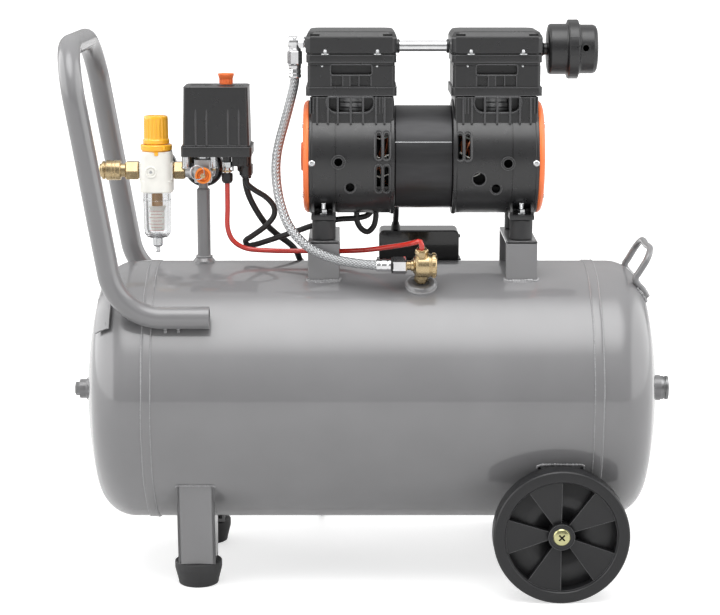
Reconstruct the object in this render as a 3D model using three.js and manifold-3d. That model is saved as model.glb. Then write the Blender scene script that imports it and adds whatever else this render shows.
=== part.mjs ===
// Horizontal-tank ("hotdog") air compressor with a twin-cylinder oil-free pump.
// Millimetres. +Z is up, +X runs along the tank towards the wheels, +Y is the back.
// The origin is on the floor, under the middle of the tank.
import * as THREE from 'three';
import { mergeVertices } from 'three/addons/utils/BufferGeometryUtils.js';
import Module from 'manifold-3d';

const wasm = await Module();
wasm.setup();

// ---------------------------------------------------------------- driving dimensions
const gap = 0.3; // clearance between touching pieces
const tank = { radius: 155, axisZ: 218, wall: 3, seamX: 265.6, flange: 17.7, knuckle: 44, crown: 497 };
tank.band = { width: 10, rise: 1 }; // raised strip where an end is pushed over the barrel
tank.topZ = tank.axisZ + tank.radius;
const tankSides = 32;

const handle = { tubeRadius: 13, halfWidth: 125.3, lowZ: 327.8, openEndX: -187.5, cornerX: -293.8 };
Object.assign(handle, { topZ: 636, lean: 0.174, lowBend: 62, topBend: 62 });
const lift = { rodRadius: 4, halfWidth: 52, crestX: 329.5, crestZ: 393 };

const wheel = { x: 218, radius: 79, innerY: 143.8, outerY: 174, boreRadius: 7.4, hubRadius: 15 };
const leg = { x: -206.5, halfWidth: 22, plate: 4, footY: 89.7, padHeight: 29, padTop: 28, padBottom: 23.5 };

const motor = { x: 60.5, shaftZ: 500.5, bodyRadius: 67, statorRadius: 61, statorHalf: 33.7 };
Object.assign(motor, { housingEnd: 134.3, cavityRadius: 57, capRadius: 66.5, capEnd: 141.5, bossEnd: 145 });
motor.shaftRadius = 8;
const mount = { midX: 59.5, halfX: 116.5, y: 44, bottomZ: 407.5, topZ: 431.2, radius: 13.5 };
const bracket = { midX: 58, halfX: 116.3, halfWidth: 18.5, halfDepth: 60.5, plate: 4.7, topZ: 407.2 };
const head = { inner: 31.5, outer: 138, halfDepth: 50, deckZ: 576.3, topZ: 651.5 };
Object.assign(head, { jointZ: 612.4, boreRadius: 29, coverZ: 622.8 });
head.midX = (head.inner + head.outer) / 2;
const crank = { throw: 6, radius: 14, rodBottomZ: 529.5, pistonZ: 598, pistonRadius: 28.4 };

const post = { x: -201.5, radius: 8, topZ: 462.5 };
const airLineZ = 484; // common height of the manifold, regulator and coupler
const regulator = { x: -257, halfWidth: 20, bottomZ: 458.4, topZ: 507.3 };
const valve = { x: 57.5, tilt: 27 * Math.PI / 180 };
const cord = { radius: 3.75, coilX: -14, coilY: 266, coilInner: 31.5, coilOuter: 54.6, coilTop: 16 };

// ---------------------------------------------------------------- finishes
function finish(color, roughness, metalness) {
  return new THREE.MeshStandardMaterial({ color, roughness, metalness });
}

const greyPaint = finish(0x8b8c8e, 0.35, 0.3);
const blackPlastic = finish(0x2b2b2d, 0.5, 0);
const glossBlack = finish(0x151516, 0.2, 0);
const blackRubber = finish(0x1c1c1d, 0.8, 0);
const orangePlastic = finish(0xf4692a, 0.35, 0);
const amberPlastic = finish(0xf6a429, 0.3, 0);
const whitePlastic = finish(0xecebe4, 0.4, 0);
const clearPlastic = new THREE.MeshStandardMaterial({ color: 0xdfe8ea, transparent: true, opacity: 0.35 });
const brass = finish(0xc6a45c, 0.3, 1);
const zinc = finish(0xb9bcc0, 0.3, 1);
const steelBraid = finish(0xa9abad, 0.4, 0.9);
const aluminium = finish(0xb4b6b8, 0.4, 0.9);
const redTube = finish(0xb8261f, 0.35, 0);
const brushedSteel = finish(0x59595b, 0.4, 0.8);

// ---------------------------------------------------------------- shape helpers
// A geometry becomes a closed solid with its faces pointing out.
function solid(geometry) {
  const bare = new THREE.BufferGeometry();
  bare.setAttribute('position', geometry.getAttribute('position'));
  if (geometry.index) bare.setIndex(geometry.index);
  const merged = mergeVertices(bare, 1e-4);
  const points = Float32Array.from(merged.getAttribute('position').array);
  const corners = merged.index.array;
  const triangles = [];
  let volume = 0;
  const at = (i) => new THREE.Vector3(points[3 * i], points[3 * i + 1], points[3 * i + 2]);
  for (let i = 0; i < corners.length; i += 3) {
    const [a, b, c] = [corners[i], corners[i + 1], corners[i + 2]];
    if (a === b || b === c || c === a) continue;
    triangles.push(a, b, c);
    volume += at(a).dot(at(b).cross(at(c)));
  }
  if (volume < 0) triangles.reverse();
  const triVerts = Uint32Array.from(triangles);
  return new wasm.Manifold(new wasm.Mesh({ numProp: 3, vertProperties: points, triVerts }));
}

function mesh(name, body, material) {
  const made = body.getMesh();
  const geometry = new THREE.BufferGeometry();
  geometry.setAttribute('position', new THREE.BufferAttribute(Float32Array.from(made.vertProperties), 3));
  geometry.setIndex(Array.from(made.triVerts));
  geometry.computeVertexNormals();
  const node = new THREE.Mesh(geometry, material);
  node.name = name;
  return node;
}

const join = (...bodies) => bodies.reduce((whole, body) => whole.add(body));
const cut = (body, ...tools) => tools.reduce((left, tool) => left.subtract(tool), body);

function block(x0, x1, y0, y1, z0, z1) {
  const box = new THREE.BoxGeometry(x1 - x0, y1 - y0, z1 - z0);
  return solid(box.translate((x0 + x1) / 2, (y0 + y1) / 2, (z0 + z1) / 2));
}

// Turns a geometry made around +Y so that it runs along the named axis, then moves it sideways.
// The two offsets are (y, z) for axis x, (x, z) for axis y and (x, y) for axis z.
function along(geometry, axis, first, second) {
  if (axis === 'x') return geometry.rotateZ(-Math.PI / 2).translate(0, first, second);
  if (axis === 'z') return geometry.rotateX(Math.PI / 2).translate(first, second, 0);
  return geometry.translate(first, 0, second);
}

function rod(axis, radius, from, to, first = 0, second = 0, sides = 20, endRadius = radius) {
  const low = Math.min(from, to);
  const high = Math.max(from, to);
  const [top, bottom] = from < to ? [endRadius, radius] : [radius, endRadius];
  const bar = new THREE.CylinderGeometry(top, bottom, high - low, sides);
  return solid(along(bar.translate(0, (low + high) / 2, 0), axis, first, second));
}

// A turned piece: the outline is a list of [radius, place along the axis].
function turned(axis, outline, first = 0, second = 0, sides = 32) {
  const points = outline.map(([radius, place]) => new THREE.Vector2(radius, place));
  return solid(along(new THREE.LatheGeometry(points, sides), axis, first, second));
}

function closedOutline(outline) {
  return [...outline, outline[0]];
}

function pipe(axis, outer, inner, from, to, first = 0, second = 0, sides = 24) {
  const ring = closedOutline([[inner, from], [outer, from], [outer, to], [inner, to]]);
  return turned(axis, ring, first, second, sides);
}

// A plate from an outline of [y, z] points, spanning x0 to x1.
function plateX(outline, x0, x1) {
  const shape = new THREE.Shape(outline.map(([y, z]) => new THREE.Vector2(y, z)));
  const plate = new THREE.ExtrudeGeometry(shape, { depth: x1 - x0, bevelEnabled: false });
  const turn = new THREE.Matrix4().set(0, 0, 1, x0, 1, 0, 0, 0, 0, 1, 0, 0, 0, 0, 0, 1);
  return solid(plate.applyMatrix4(turn));
}

// A bar of round section that follows a list of [x, y, z] points.
function bentBar(points, radius, sides, steps) {
  const path = new THREE.CatmullRomCurve3(points.map((p) => new THREE.Vector3(...p)), false, 'centripetal');
  const section = new THREE.Shape();
  for (let i = 0; i < sides; i += 1) {
    const turn = (2 * Math.PI * i) / sides;
    section[i === 0 ? 'moveTo' : 'lineTo'](radius * Math.cos(turn), radius * Math.sin(turn));
  }
  return solid(new THREE.ExtrudeGeometry(section, { steps, extrudePath: path, bevelEnabled: false }));
}

// Corner points joined by arcs; between them the path is straight.
function rounded(corners, radii, arcSteps = 5) {
  const at = corners.map((p) => new THREE.Vector3(...p));
  const path = [corners[0]];
  for (let i = 1; i < at.length - 1; i += 1) {
    const back = at[i - 1].clone().sub(at[i]).normalize();
    const on = at[i + 1].clone().sub(at[i]).normalize();
    const half = back.angleTo(on) / 2;
    const middle = back.clone().add(on).normalize().multiplyScalar(radii[i - 1] / Math.sin(half)).add(at[i]);
    const start = back.clone().multiplyScalar(radii[i - 1] / Math.tan(half)).add(at[i]).sub(middle);
    const end = on.clone().multiplyScalar(radii[i - 1] / Math.tan(half)).add(at[i]).sub(middle);
    const sweep = start.angleTo(end);
    for (let k = 0; k <= arcSteps; k += 1) {
      const a = (sweep * k) / arcSteps;
      const spot = start.clone().multiplyScalar(Math.sin(sweep - a) / Math.sin(sweep));
      spot.addScaledVector(end, Math.sin(a) / Math.sin(sweep)).add(middle);
      path.push(spot.toArray());
    }
  }
  path.push(corners[corners.length - 1]);
  return path;
}

// ---------------------------------------------------------------- tank
// One end's outline from the seam to the tip, moved outwards by offset.
function domeOutline(offset, arcSteps, crownSteps, side) {
  const { radius, flange, knuckle, crown, seamX } = tank;
  const lean = Math.asin((radius - knuckle) / (crown - knuckle));
  const height = crown - (crown - knuckle) * Math.cos(lean);
  const crownCentre = flange + height - crown;
  const outline = [];
  for (let i = 0; i <= arcSteps; i += 1) {
    const turn = ((Math.PI / 2 - lean) * i) / arcSteps;
    const r = radius - knuckle + (knuckle + offset) * Math.cos(turn);
    outline.push([r, flange + (knuckle + offset) * Math.sin(turn)]);
  }
  for (let i = 1; i <= crownSteps; i += 1) {
    const turn = lean * (1 - i / crownSteps);
    const r = i === crownSteps ? 0 : (crown + offset) * Math.sin(turn);
    outline.push([r, crownCentre + (crown + offset) * Math.cos(turn)]);
  }
  return outline.map(([r, t]) => [r, side * (seamX + t)]);
}

function tankEnd(side) {
  const { radius, wall, seamX, band } = tank;
  const rim = side * (seamX - band.width + gap);
  const inner = domeOutline(-wall, 1, 1, side).reverse();
  const outer = domeOutline(0, 3, 2, side);
  const raised = radius + band.rise;
  const strip = [[radius - wall, rim], [raised, rim], [raised, side * seamX], [radius, side * seamX]];
  return turned('x', [...inner, ...strip, ...outer], 0, tank.axisZ, tankSides);
}

// Everything that touches the tank is cut back from this.
function tankClearance() {
  const offset = 0.4;
  const half = [[0, 0], [tank.radius + offset, 0]];
  const right = turned('x', [...half, ...domeOutline(offset, 8, 4, 1)], 0, tank.axisZ, tankSides);
  const left = turned('x', [...half, ...domeOutline(offset, 8, 4, -1)], 0, tank.axisZ, tankSides);
  const bands = [-1, 1].map((side) => {
    const inner = side * (tank.seamX - tank.band.width - offset);
    const outer = side * (tank.seamX + offset);
    return rod('x', tank.radius + tank.band.rise + offset, inner, outer, 0, tank.axisZ, tankSides);
  });
  return join(right, left, ...bands);
}

function tankBarrel() {
  const { radius, wall, seamX, band, axisZ } = tank;
  const half = seamX - band.width;
  const shell = pipe('x', radius, radius - wall, -half, half, 0, axisZ, tankSides);
  const riserBung = rod('z', 13, tank.topZ - 4, tank.topZ + 3.5, post.x, 0, 14);
  const riser = rod('z', post.radius, tank.topZ - 3, post.topZ, post.x, 0, 12);
  const neck = rod('z', 5.5, post.topZ - 1, airLineZ - 14.3, post.x, 0, 8);
  const drainBung = rod('z', 12, axisZ - radius - 7, axisZ - radius + 3, leg.x, 0, 12);
  const outlet = new THREE.CylinderGeometry(15, 18.7, 9, 16).rotateX(Math.PI / 2);
  outlet.translate(0, 0, radius + 1.5).rotateX(valve.tilt).translate(valve.x, 0, axisZ);
  const outletBung = solid(outlet);
  return join(shell, riserBung, riser, neck, drainBung, outletBung);
}

// A curved card that stands on two lugs, a little off the left end's shoulder.
function ratingPlateHolder() {
  const [low, high] = [3.5, 6].map((offset) => domeOutline(offset, 9, 1, -1).slice(3, 7));
  const band = turned('x', closedOutline([...low, ...high.reverse()]), 0, tank.axisZ, 24);
  const lean = 41 * Math.PI / 180;
  const place = (width, depth, y, z, height) => {
    const box = new THREE.BoxGeometry(width, depth, height).translate(-306, y, z);
    return solid(box.rotateX(lean).translate(0, 0, tank.axisZ));
  };
  const card = band.intersect(place(60, 54, 0, 130, 60));
  const lugs = [-20, 20].map((y) => place(5, 6, y, 148.5, 7));
  return join(card, ...lugs);
}

const tankTool = tankClearance();
const endTip = domeOutline(0, 1, 1, 1).at(-1)[1];

function tankGroup() {
  const group = new THREE.Group();
  const plugEndX = 360.4;
  const leftBungX = 354.5;
  const leftEnd = tankEnd(-1);
  const flangeRing = rod('x', 15, -endTip + 2, -endTip - 4, 0, tank.axisZ - 1, 16);
  const leftBung = rod('x', 11.8, -endTip + 2, -leftBungX, 0, tank.axisZ - 1, 16);
  const ratingPlate = ratingPlateHolder();
  group.add(mesh('tank_barrel', tankBarrel(), greyPaint));
  group.add(mesh('tank_end_left', join(leftEnd, flangeRing, leftBung, ratingPlate), greyPaint));
  const socket = rod('x', 15.6, endTip - 2, 351, 0, tank.axisZ, 16);
  const socketBore = rod('x', 8.4, 345, 352, 0, tank.axisZ, 12);
  group.add(mesh('tank_end_right', cut(join(tankEnd(1), socket), socketBore), greyPaint));
  const shank = rod('x', 8, 346, 352, 0, tank.axisZ, 12);
  const plug = join(shank, rod('x', 13, 351 + gap, plugEndX, 0, tank.axisZ, 16));
  const keySocket = rod('x', 4.5, plugEndX - 5, plugEndX + 1, 0, tank.axisZ, 6);
  group.add(mesh('end_plug_right', cut(plug, keySocket), zinc));
  return group;
}

// ---------------------------------------------------------------- handles
function pushHandle() {
  const { halfWidth, lowZ, cornerX, topZ, lean, openEndX, lowBend, topBend, tubeRadius } = handle;
  const topX = cornerX - (topZ - lowZ) * lean;
  const sideOf = (y) => [[openEndX, y, lowZ], [cornerX, y, lowZ], [topX, y, topZ]];
  const corners = [...sideOf(-halfWidth), ...sideOf(halfWidth).reverse()];
  const path = rounded(corners, [lowBend, topBend, topBend, lowBend]);
  const bar = bentBar(path, tubeRadius, 8, 36);
  const boreDepth = 30;
  const boreStart = openEndX - boreDepth;
  const bores = [-halfWidth, halfWidth].map((y) => rod('x', 10.5, boreStart, openEndX + 1, y, lowZ, 12));
  return mesh('handle_tube', cut(bar, tankTool, ...bores), greyPaint);
}

function liftingHandle() {
  const { rodRadius, halfWidth, crestX, crestZ } = lift;
  // A point on the right end's knuckle, where the welded rod lies against the surface.
  const onDome = (turn, y) => {
    const reach = tank.knuckle + 3;
    const r = tank.radius - tank.knuckle + reach * Math.cos(turn);
    return [tank.seamX + tank.flange + reach * Math.sin(turn), y, tank.axisZ + Math.sqrt(r * r - y * y)];
  };
  const rise = (y) => [[311.5, y, 361.5], [316, y, 369.5], [324, y, 383]];
  const side = (y) => [onDome(1.12, y), onDome(0.9, y), onDome(0.7, y), ...rise(y)];
  const near = side(-halfWidth);
  const far = side(halfWidth).reverse();
  const corner = halfWidth - 12;
  const crest = [[crestX, -corner, crestZ], [crestX + 0.5, 0, crestZ + 1], [crestX, corner, crestZ]];
  const bar = bentBar([...near, ...crest, ...far], rodRadius, 6, 32);
  return mesh('lifting_handle', cut(bar, tankTool), greyPaint);
}

// ---------------------------------------------------------------- legs and wheels
function supportLeg(side) {
  const { x, halfWidth, plate, padHeight } = leg;
  const bottom = padHeight + gap;
  const front = [[-113, bottom], [-125.7, 108.7], [-126.5, 128]];
  const back = front.map(([y, z]) => [y + plate, z]).reverse();
  const mirrored = (outline) => outline.map(([y, z]) => [-side * y, z]);
  const face = plateX(mirrored([...front, ...back]), x - halfWidth, x + halfWidth);
  const cheekOutline = mirrored([...front, [-100, 120], [-66, 84], [-68, bottom]]);
  const cheeks = [-1, 1].map((s) => {
    const edge = x + s * halfWidth;
    return plateX(cheekOutline, Math.min(edge, edge - s * plate), Math.max(edge, edge - s * plate));
  });
  const soleTop = bottom + plate;
  const soleOutline = mirrored([[-113, bottom], [-113, soleTop], [-68, soleTop], [-68, bottom]]);
  const sole = plateX(soleOutline, x - halfWidth, x + halfWidth);
  return cut(join(face, ...cheeks, sole), tankTool);
}

function footPad(side) {
  const { x, footY, padHeight, padTop, padBottom } = leg;
  const foot = [[0, 0], [padBottom, 0], [padBottom + 0.7, 5]];
  const outline = [...foot, [padTop, padHeight - 8], [padTop, padHeight], [0, padHeight]];
  return turned('z', outline, x, side * footY, 16);
}

function wheelBracket(side) {
  const { x } = wheel;
  const faceY = 141.5;
  const plate = 5;
  const halfWidth = 27;
  const mirrored = (outline) => outline.map(([y, z]) => [-side * y, z]);
  const faceOutline = [[-faceY, 157], [-faceY, 50], [plate - faceY, 50], [plate - faceY, 157]];
  const face = plateX(mirrored(faceOutline), x - halfWidth, x + halfWidth);
  const cheekOutline = mirrored([[-faceY, 156], [-faceY, 50], [-112, 50], [-60, 80], [-100, 130]]);
  const cheeks = [-1, 1].map((s) => {
    const edge = x + s * halfWidth;
    return plateX(cheekOutline, Math.min(edge, edge - s * plate), Math.max(edge, edge - s * plate));
  });
  const axle = rod('y', 7, side * (faceY - 8), side * 171, x, wheel.radius, 16);
  const boltHead = rod('y', 10.2, side * 170.3, side * wheel.outerY, x, wheel.radius, 16);
  return join(cut(join(face, ...cheeks), tankTool), axle, boltHead);
}

function roadWheel(side) {
  const { radius, innerY, outerY, boreRadius, hubRadius, x } = wheel;
  const hubY = 170;
  const rimRadius = 64;
  const outline = [
    [boreRadius, innerY], [hubRadius, innerY], [hubRadius, 154], [rimRadius, 154], [rimRadius, innerY],
    [radius, innerY], [radius, outerY - 4], [radius - 3, outerY - 0.5], [rimRadius, outerY - 0.5],
    [rimRadius, 162], [hubRadius, 162], [hubRadius, hubY], [boreRadius, hubY],
  ];
  return turned('y', closedOutline(outline.map(([r, y]) => [r, side * y])), x, radius, 24);
}

function runningGear() {
  const group = new THREE.Group();
  for (const [place, side] of [['front', -1], ['rear', 1]]) {
    group.add(mesh(`leg_${place}`, supportLeg(side), greyPaint));
    group.add(mesh(`foot_pad_${place}`, footPad(side), blackRubber));
    group.add(mesh(`wheel_bracket_${place}`, wheelBracket(side), greyPaint));
    group.add(mesh(`wheel_${place}`, roadWheel(side), blackPlastic));
  }
  return group;
}

// ---------------------------------------------------------------- condensate drain under the tank
function drainGroup() {
  const group = new THREE.Group();
  const top = tank.axisZ - tank.radius - 7 - gap;
  const body = join(
    rod('z', 9, top - 9, top, leg.x, 0, 6),
    rod('z', 5.5, top - 22, top - 8, leg.x, 0),
    rod('y', 3.5, 0, 14, leg.x, top - 14, 12),
  );
  group.add(mesh('drain_valve', body, brass));
  const knobTop = top - 22 - gap;
  const wings = block(leg.x - 11, leg.x + 11, -1.6, 1.6, knobTop - 6, knobTop - 1);
  const knob = join(rod('z', 8.5, knobTop - 7, knobTop, leg.x, 0, 16), wings);
  group.add(mesh('drain_knob', knob, brass));
  return group;
}

// ---------------------------------------------------------------- motor and pump
function motorBracket(side) {
  const { midX, halfX, halfWidth, halfDepth, plate, topZ } = bracket;
  const x = midX + side * halfX;
  const deck = block(x - halfWidth, x + halfWidth, -halfDepth, halfDepth, topZ - plate, topZ);
  const front = block(x - halfWidth, x + halfWidth, -halfDepth, plate - halfDepth, 350, topZ);
  const back = block(x - halfWidth, x + halfWidth, halfDepth - plate, halfDepth, 350, topZ);
  return cut(join(deck, front, back), tankTool);
}

function rubberMount(x, y) {
  const { bottomZ, topZ, radius } = mount;
  const waist = radius - 2;
  const middle = (bottomZ + topZ) / 2;
  const lower = [[0, bottomZ], [radius, bottomZ], [radius, bottomZ + 5], [waist, middle]];
  const outline = [...lower, [radius, topZ - 5], [radius, topZ], [0, topZ]];
  const rubber = turned('z', outline, x, y, 12);
  const stud = rod('z', 4, topZ - 1, 444, x, y, 8);
  const nut = rod('z', 7, 438 + gap, 442.5, x, y, 6);
  return join(rubber, stud, nut);
}

function endHousing(side) {
  const { x, shaftZ, bodyRadius, cavityRadius, statorHalf, housingEnd, shaftRadius } = motor;
  const near = (a, b) => [x + Math.min(side * a, side * b), x + Math.max(side * a, side * b)];
  const [low, high] = near(statorHalf + gap, housingEnd);
  const drum = rod('x', bodyRadius, low, high, 0, shaftZ, 24);
  const shroud = block(low, high, -head.halfDepth, head.halfDepth, 545, head.deckZ - gap);
  const [caveLow, caveHigh] = near(statorHalf + 8, housingEnd + 1);
  const cavity = rod('x', cavityRadius, caveLow, caveHigh, 0, shaftZ, 20);
  const [boreLow, boreHigh] = near(statorHalf - 5, statorHalf + 12);
  const shaftBore = rod('x', shaftRadius + 0.8, boreLow, boreHigh, 0, shaftZ, 12);
  const rodHole = rod('z', head.boreRadius, shaftZ + 20, head.deckZ + 1, x + side * head.midX, 0, 20);
  const footX = mount.midX + side * mount.halfX;
  const feet = [-1, 1].flatMap((s) => {
    const y0 = s < 0 ? -mount.y - 14 : mount.y - 15;
    const pad = block(footX - 14, footX + 14, y0, y0 + 29, 431.5, 438);
    const w0 = s < 0 ? -mount.y - 8 : mount.y - 17;
    const webs = [-14, 10].map((w) => block(footX + w, footX + w + 4, w0, w0 + 25, 437, 466));
    return [pad, ...webs];
  });
  const studHoles = [-1, 1].map((s) => rod('z', 4.6, 430, 439, footX, s * mount.y, 8));
  return cut(join(drum, shroud, ...feet), cavity, shaftBore, rodHole, ...studHoles);
}

function rotorShaft() {
  const { x, shaftZ, shaftRadius } = motor;
  const shaft = rod('x', shaftRadius, x - 138, x + 138, 0, shaftZ, 12);
  const core = rod('x', 32, x - 31, x + 31, 0, shaftZ, 16);
  const pieces = [shaft, core];
  for (const side of [-1, 1]) {
    const crankX = x + side * head.midX;
    pieces.push(rod('x', crank.radius, crankX - 9, crankX + 9, 0, shaftZ + side * crank.throw, 12));
    const fanX = x + side * 112;
    pieces.push(rod('x', 50, fanX, fanX + side * 3, 0, shaftZ, 16));
    const blades = 5;
    for (let i = 0; i < blades; i += 1) {
      const blade = new THREE.BoxGeometry(16, 34, 2).translate(0, 31, 0).rotateX((2 * Math.PI * i) / blades);
      pieces.push(solid(blade.translate(fanX + side * 8, 0, shaftZ)));
    }
  }
  return join(...pieces);
}

function endCap(side) {
  const { x, shaftZ, capRadius, capEnd, bossEnd, housingEnd } = motor;
  const near = (a, b) => [x + Math.min(side * a, side * b), x + Math.max(side * a, side * b)];
  const disc = rod('x', capRadius, ...near(housingEnd + gap, capEnd), 0, shaftZ, 24);
  const boss = rod('x', 17, ...near(capEnd - 1, bossEnd), 0, shaftZ, 16);
  const slots = [];
  const count = 6;
  for (let i = 0; i < count; i += 1) {
    const [low, high] = near(housingEnd - 1, capEnd + 1);
    const slot = new THREE.BoxGeometry(high - low, 26, 9).translate((low + high) / 2 - x, 38, 0);
    slots.push(solid(slot.rotateX((2 * Math.PI * (i + 0.5)) / count).translate(x, 0, shaftZ)));
  }
  const shaftRecess = rod('x', 9.5, ...near(housingEnd - 2, capEnd), 0, shaftZ, 12);
  return cut(join(disc, boss), ...slots, shaftRecess);
}

function pumpSpan(side) {
  const { x } = motor;
  const a = x + side * head.inner;
  const b = x + side * head.outer;
  return [Math.min(a, b), Math.max(a, b)];
}

function cylinder(side) {
  const [low, high] = pumpSpan(side);
  const { halfDepth, deckZ, jointZ, boreRadius } = head;
  const wall = 6;
  const flangeTop = deckZ + 10;
  const flange = block(low, high, -halfDepth, halfDepth, deckZ, flangeTop);
  const upper = block(low, high, -halfDepth + 2, halfDepth - 2, flangeTop - 1, jointZ);
  const core = rod('z', boreRadius + wall, deckZ, jointZ, motor.x + side * head.midX, 0, 24);
  const windows = [-1, 1].map((s) => {
    const y0 = s < 0 ? -halfDepth : 37;
    return block(low + 24, high - 24, y0, y0 + 13, jointZ - 15, jointZ - 6);
  });
  const bore = rod('z', boreRadius, deckZ - 1, jointZ + 1, motor.x + side * head.midX, 0, 24);
  return cut(join(cut(join(flange, upper), ...windows), core), bore);
}

function headCover(side) {
  const [low, high] = pumpSpan(side);
  const { halfDepth, jointZ, coverZ, topZ } = head;
  const gasket = block(low + 3, high - 3, -halfDepth + 3, halfDepth - 3, jointZ + gap, coverZ + 1);
  const cover = block(low, high, -halfDepth, halfDepth, coverZ, topZ - 6);
  const crown = block(low + 3, high - 3, -halfDepth + 6, halfDepth - 6, topZ - 7, topZ);
  const chamber = rod('z', head.boreRadius - 1, jointZ, jointZ + 6, motor.x + side * head.midX, 0, 24);
  return cut(join(gasket, cover, crown), chamber);
}

function piston(side) {
  const x = motor.x + side * head.midX;
  const disc = rod('z', crank.pistonRadius, crank.pistonZ, crank.pistonZ + 8, x, 0, 24);
  const rodBar = block(x - 6, x + 6, -10, 10, crank.rodBottomZ, crank.pistonZ + 1);
  return join(disc, rodBar);
}

function motorGroup() {
  const group = new THREE.Group();
  const { x, shaftZ } = motor;
  for (const [place, side] of [['left', -1], ['right', 1]]) {
    group.add(mesh(`motor_bracket_${place}`, motorBracket(side), greyPaint));
    const mountX = mount.midX + side * mount.halfX;
    group.add(mesh(`rubber_mount_${place}_front`, rubberMount(mountX, -mount.y), blackRubber));
    group.add(mesh(`rubber_mount_${place}_rear`, rubberMount(mountX, mount.y), blackRubber));
    group.add(mesh(`end_housing_${place}`, endHousing(side), blackPlastic));
    group.add(mesh(`end_cap_${place}`, endCap(side), orangePlastic));
    group.add(mesh(`cylinder_${place}`, cylinder(side), blackPlastic));
    group.add(mesh(`head_cover_${place}`, headCover(side), blackPlastic));
    group.add(mesh(`piston_${place}`, piston(side), aluminium));
  }
  const { statorRadius, statorHalf } = motor;
  const stator = pipe('x', statorRadius, 33, x - statorHalf, x + statorHalf, 0, shaftZ, 24);
  group.add(mesh('stator', stator, brushedSteel));
  group.add(mesh('rotor_shaft', rotorShaft(), zinc));
  const pipeLow = x - head.inner + gap;
  const pipeHigh = x + head.inner - gap;
  const collar = 8;
  const crossover = join(
    rod('x', 6.5, pipeLow, pipeHigh, 0, 632),
    rod('x', 8.5, pipeLow, pipeLow + collar, 0, 632, 6),
    rod('x', 8.5, pipeHigh - collar, pipeHigh, 0, 632, 6),
  );
  group.add(mesh('crossover_pipe', crossover, zinc));
  const start = x + head.outer + gap;
  const filterOutline = [
    [0, start], [8.6, start], [8.6, 207], [27.5, 207], [29.5, 210], [29.5, 230], [34.7, 231], [34.7, 243],
    [28.6, 244], [28.6, 262], [25.5, 265.5], [0, 265.5],
  ];
  group.add(mesh('intake_filter', turned('x', filterOutline, 0, 628, 16), blackPlastic));
  return group;
}

// ---------------------------------------------------------------- capacitor box and its lead
function capacitorBox() {
  const box = block(10, 108, 64, 108, 362, 399.5);
  const base = block(7, 111, 61, 111, 350, 363);
  const housingTool = rod('x', motor.bodyRadius + 0.5, -80, 200, 0, motor.shaftZ, 28);
  const leadRoute = [[30, 76, 396], [30, 75, 408], [30.5, 66, 425], [30, 54, 441], [30, 40, 454]];
  const lead = bentBar(leadRoute, 3.5, 8, 9);
  return cut(join(box, base, cut(lead, housingTool)), tankTool);
}

// ---------------------------------------------------------------- control side: manifold, switch, regulator
function manifoldBlock() {
  const core = block(post.x - 10, post.x + 10, -12, 12, 470, 498);
  const neck = rod('z', 6.5, 497, 503 - gap, post.x, 0);
  const unionNut = rod('x', 11.5, -236.5, -222.5, 0, airLineZ, 6);
  const leftPort = rod('x', 7, -223, -208, 0, airLineZ, 12);
  const safetyBody = rod('y', 6.5, -26, -11, post.x + 2, 481, 12);
  const safetyCap = rod('y', 9.5, -32, -25, post.x + 2, 481, 16);
  return join(core, neck, unionNut, leftPort, safetyBody, safetyCap);
}

function pullRing() {
  const ring = new THREE.TorusGeometry(7.6, 1.1, 5, 14).rotateX(Math.PI / 2);
  const stem = rod('y', 2.6, -38, -32 - gap, post.x + 2, 481, 8);
  return join(solid(ring.translate(post.x - 4.3, -36, 485.3)), stem);
}

// A round gauge that faces the back: an open cup with a dial floor, and a needle.
function gaugeCase(x, z, radius, stemY, frontY, depth) {
  const wall = 2.5;
  const floor = frontY + depth - 8;
  const outline = [
    [0, stemY], [5, stemY], [5, frontY], [radius - 3, frontY], [radius, frontY + 3], [radius, frontY + depth],
    [radius - wall, frontY + depth], [radius - wall, floor], [0, floor],
  ];
  return turned('y', outline, x, z, 20);
}

// The needle rests on zero, low on the left of the dial as its reader sees it.
function gaugeNeedle(x, z, length, y) {
  const hub = rod('y', 2.2, y, y + 3, x, z, 8);
  const pointer = new THREE.BoxGeometry(1.6, 1.2, length + 4).translate(0, y + 1.6, (4 - length) / 2);
  return join(hub, solid(pointer.rotateY(-Math.PI / 4).translate(x, 0, z)));
}

function switchBase() {
  const skirt = block(-225.5, -142, -33, 33, 503, 515);
  const inside = block(-205, -160, -20, 20, 514, 560);
  const gland = block(-166, -144, -16, 16, 478, 504);
  const glandNuts = [[-151.5, 9], [-149.3, -5]].map(([x, y]) => rod('z', 5, 475, 479, x, y, 12));
  return join(skirt, inside, gland, ...glandNuts);
}

function switchCover() {
  const wall = 2.5;
  const bottom = 515 + gap;
  const topZ = 585.5;
  const outer = new THREE.CylinderGeometry(53.2, 55.2, topZ - bottom, 4, 1).rotateY(Math.PI / 4);
  const middleZ = (topZ + bottom) / 2;
  const shell = solid(outer.rotateX(Math.PI / 2).scale(1, 0.78, 1).translate(-184, 0, middleZ));
  const hollow = block(-221 + wall, -147 - wall, -27, 27, bottom - 1, topZ - wall);
  const hole = rod('z', 7.6, topZ - 10, topZ + 1, -173, 0);
  return cut(shell, hollow, hole);
}

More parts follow.
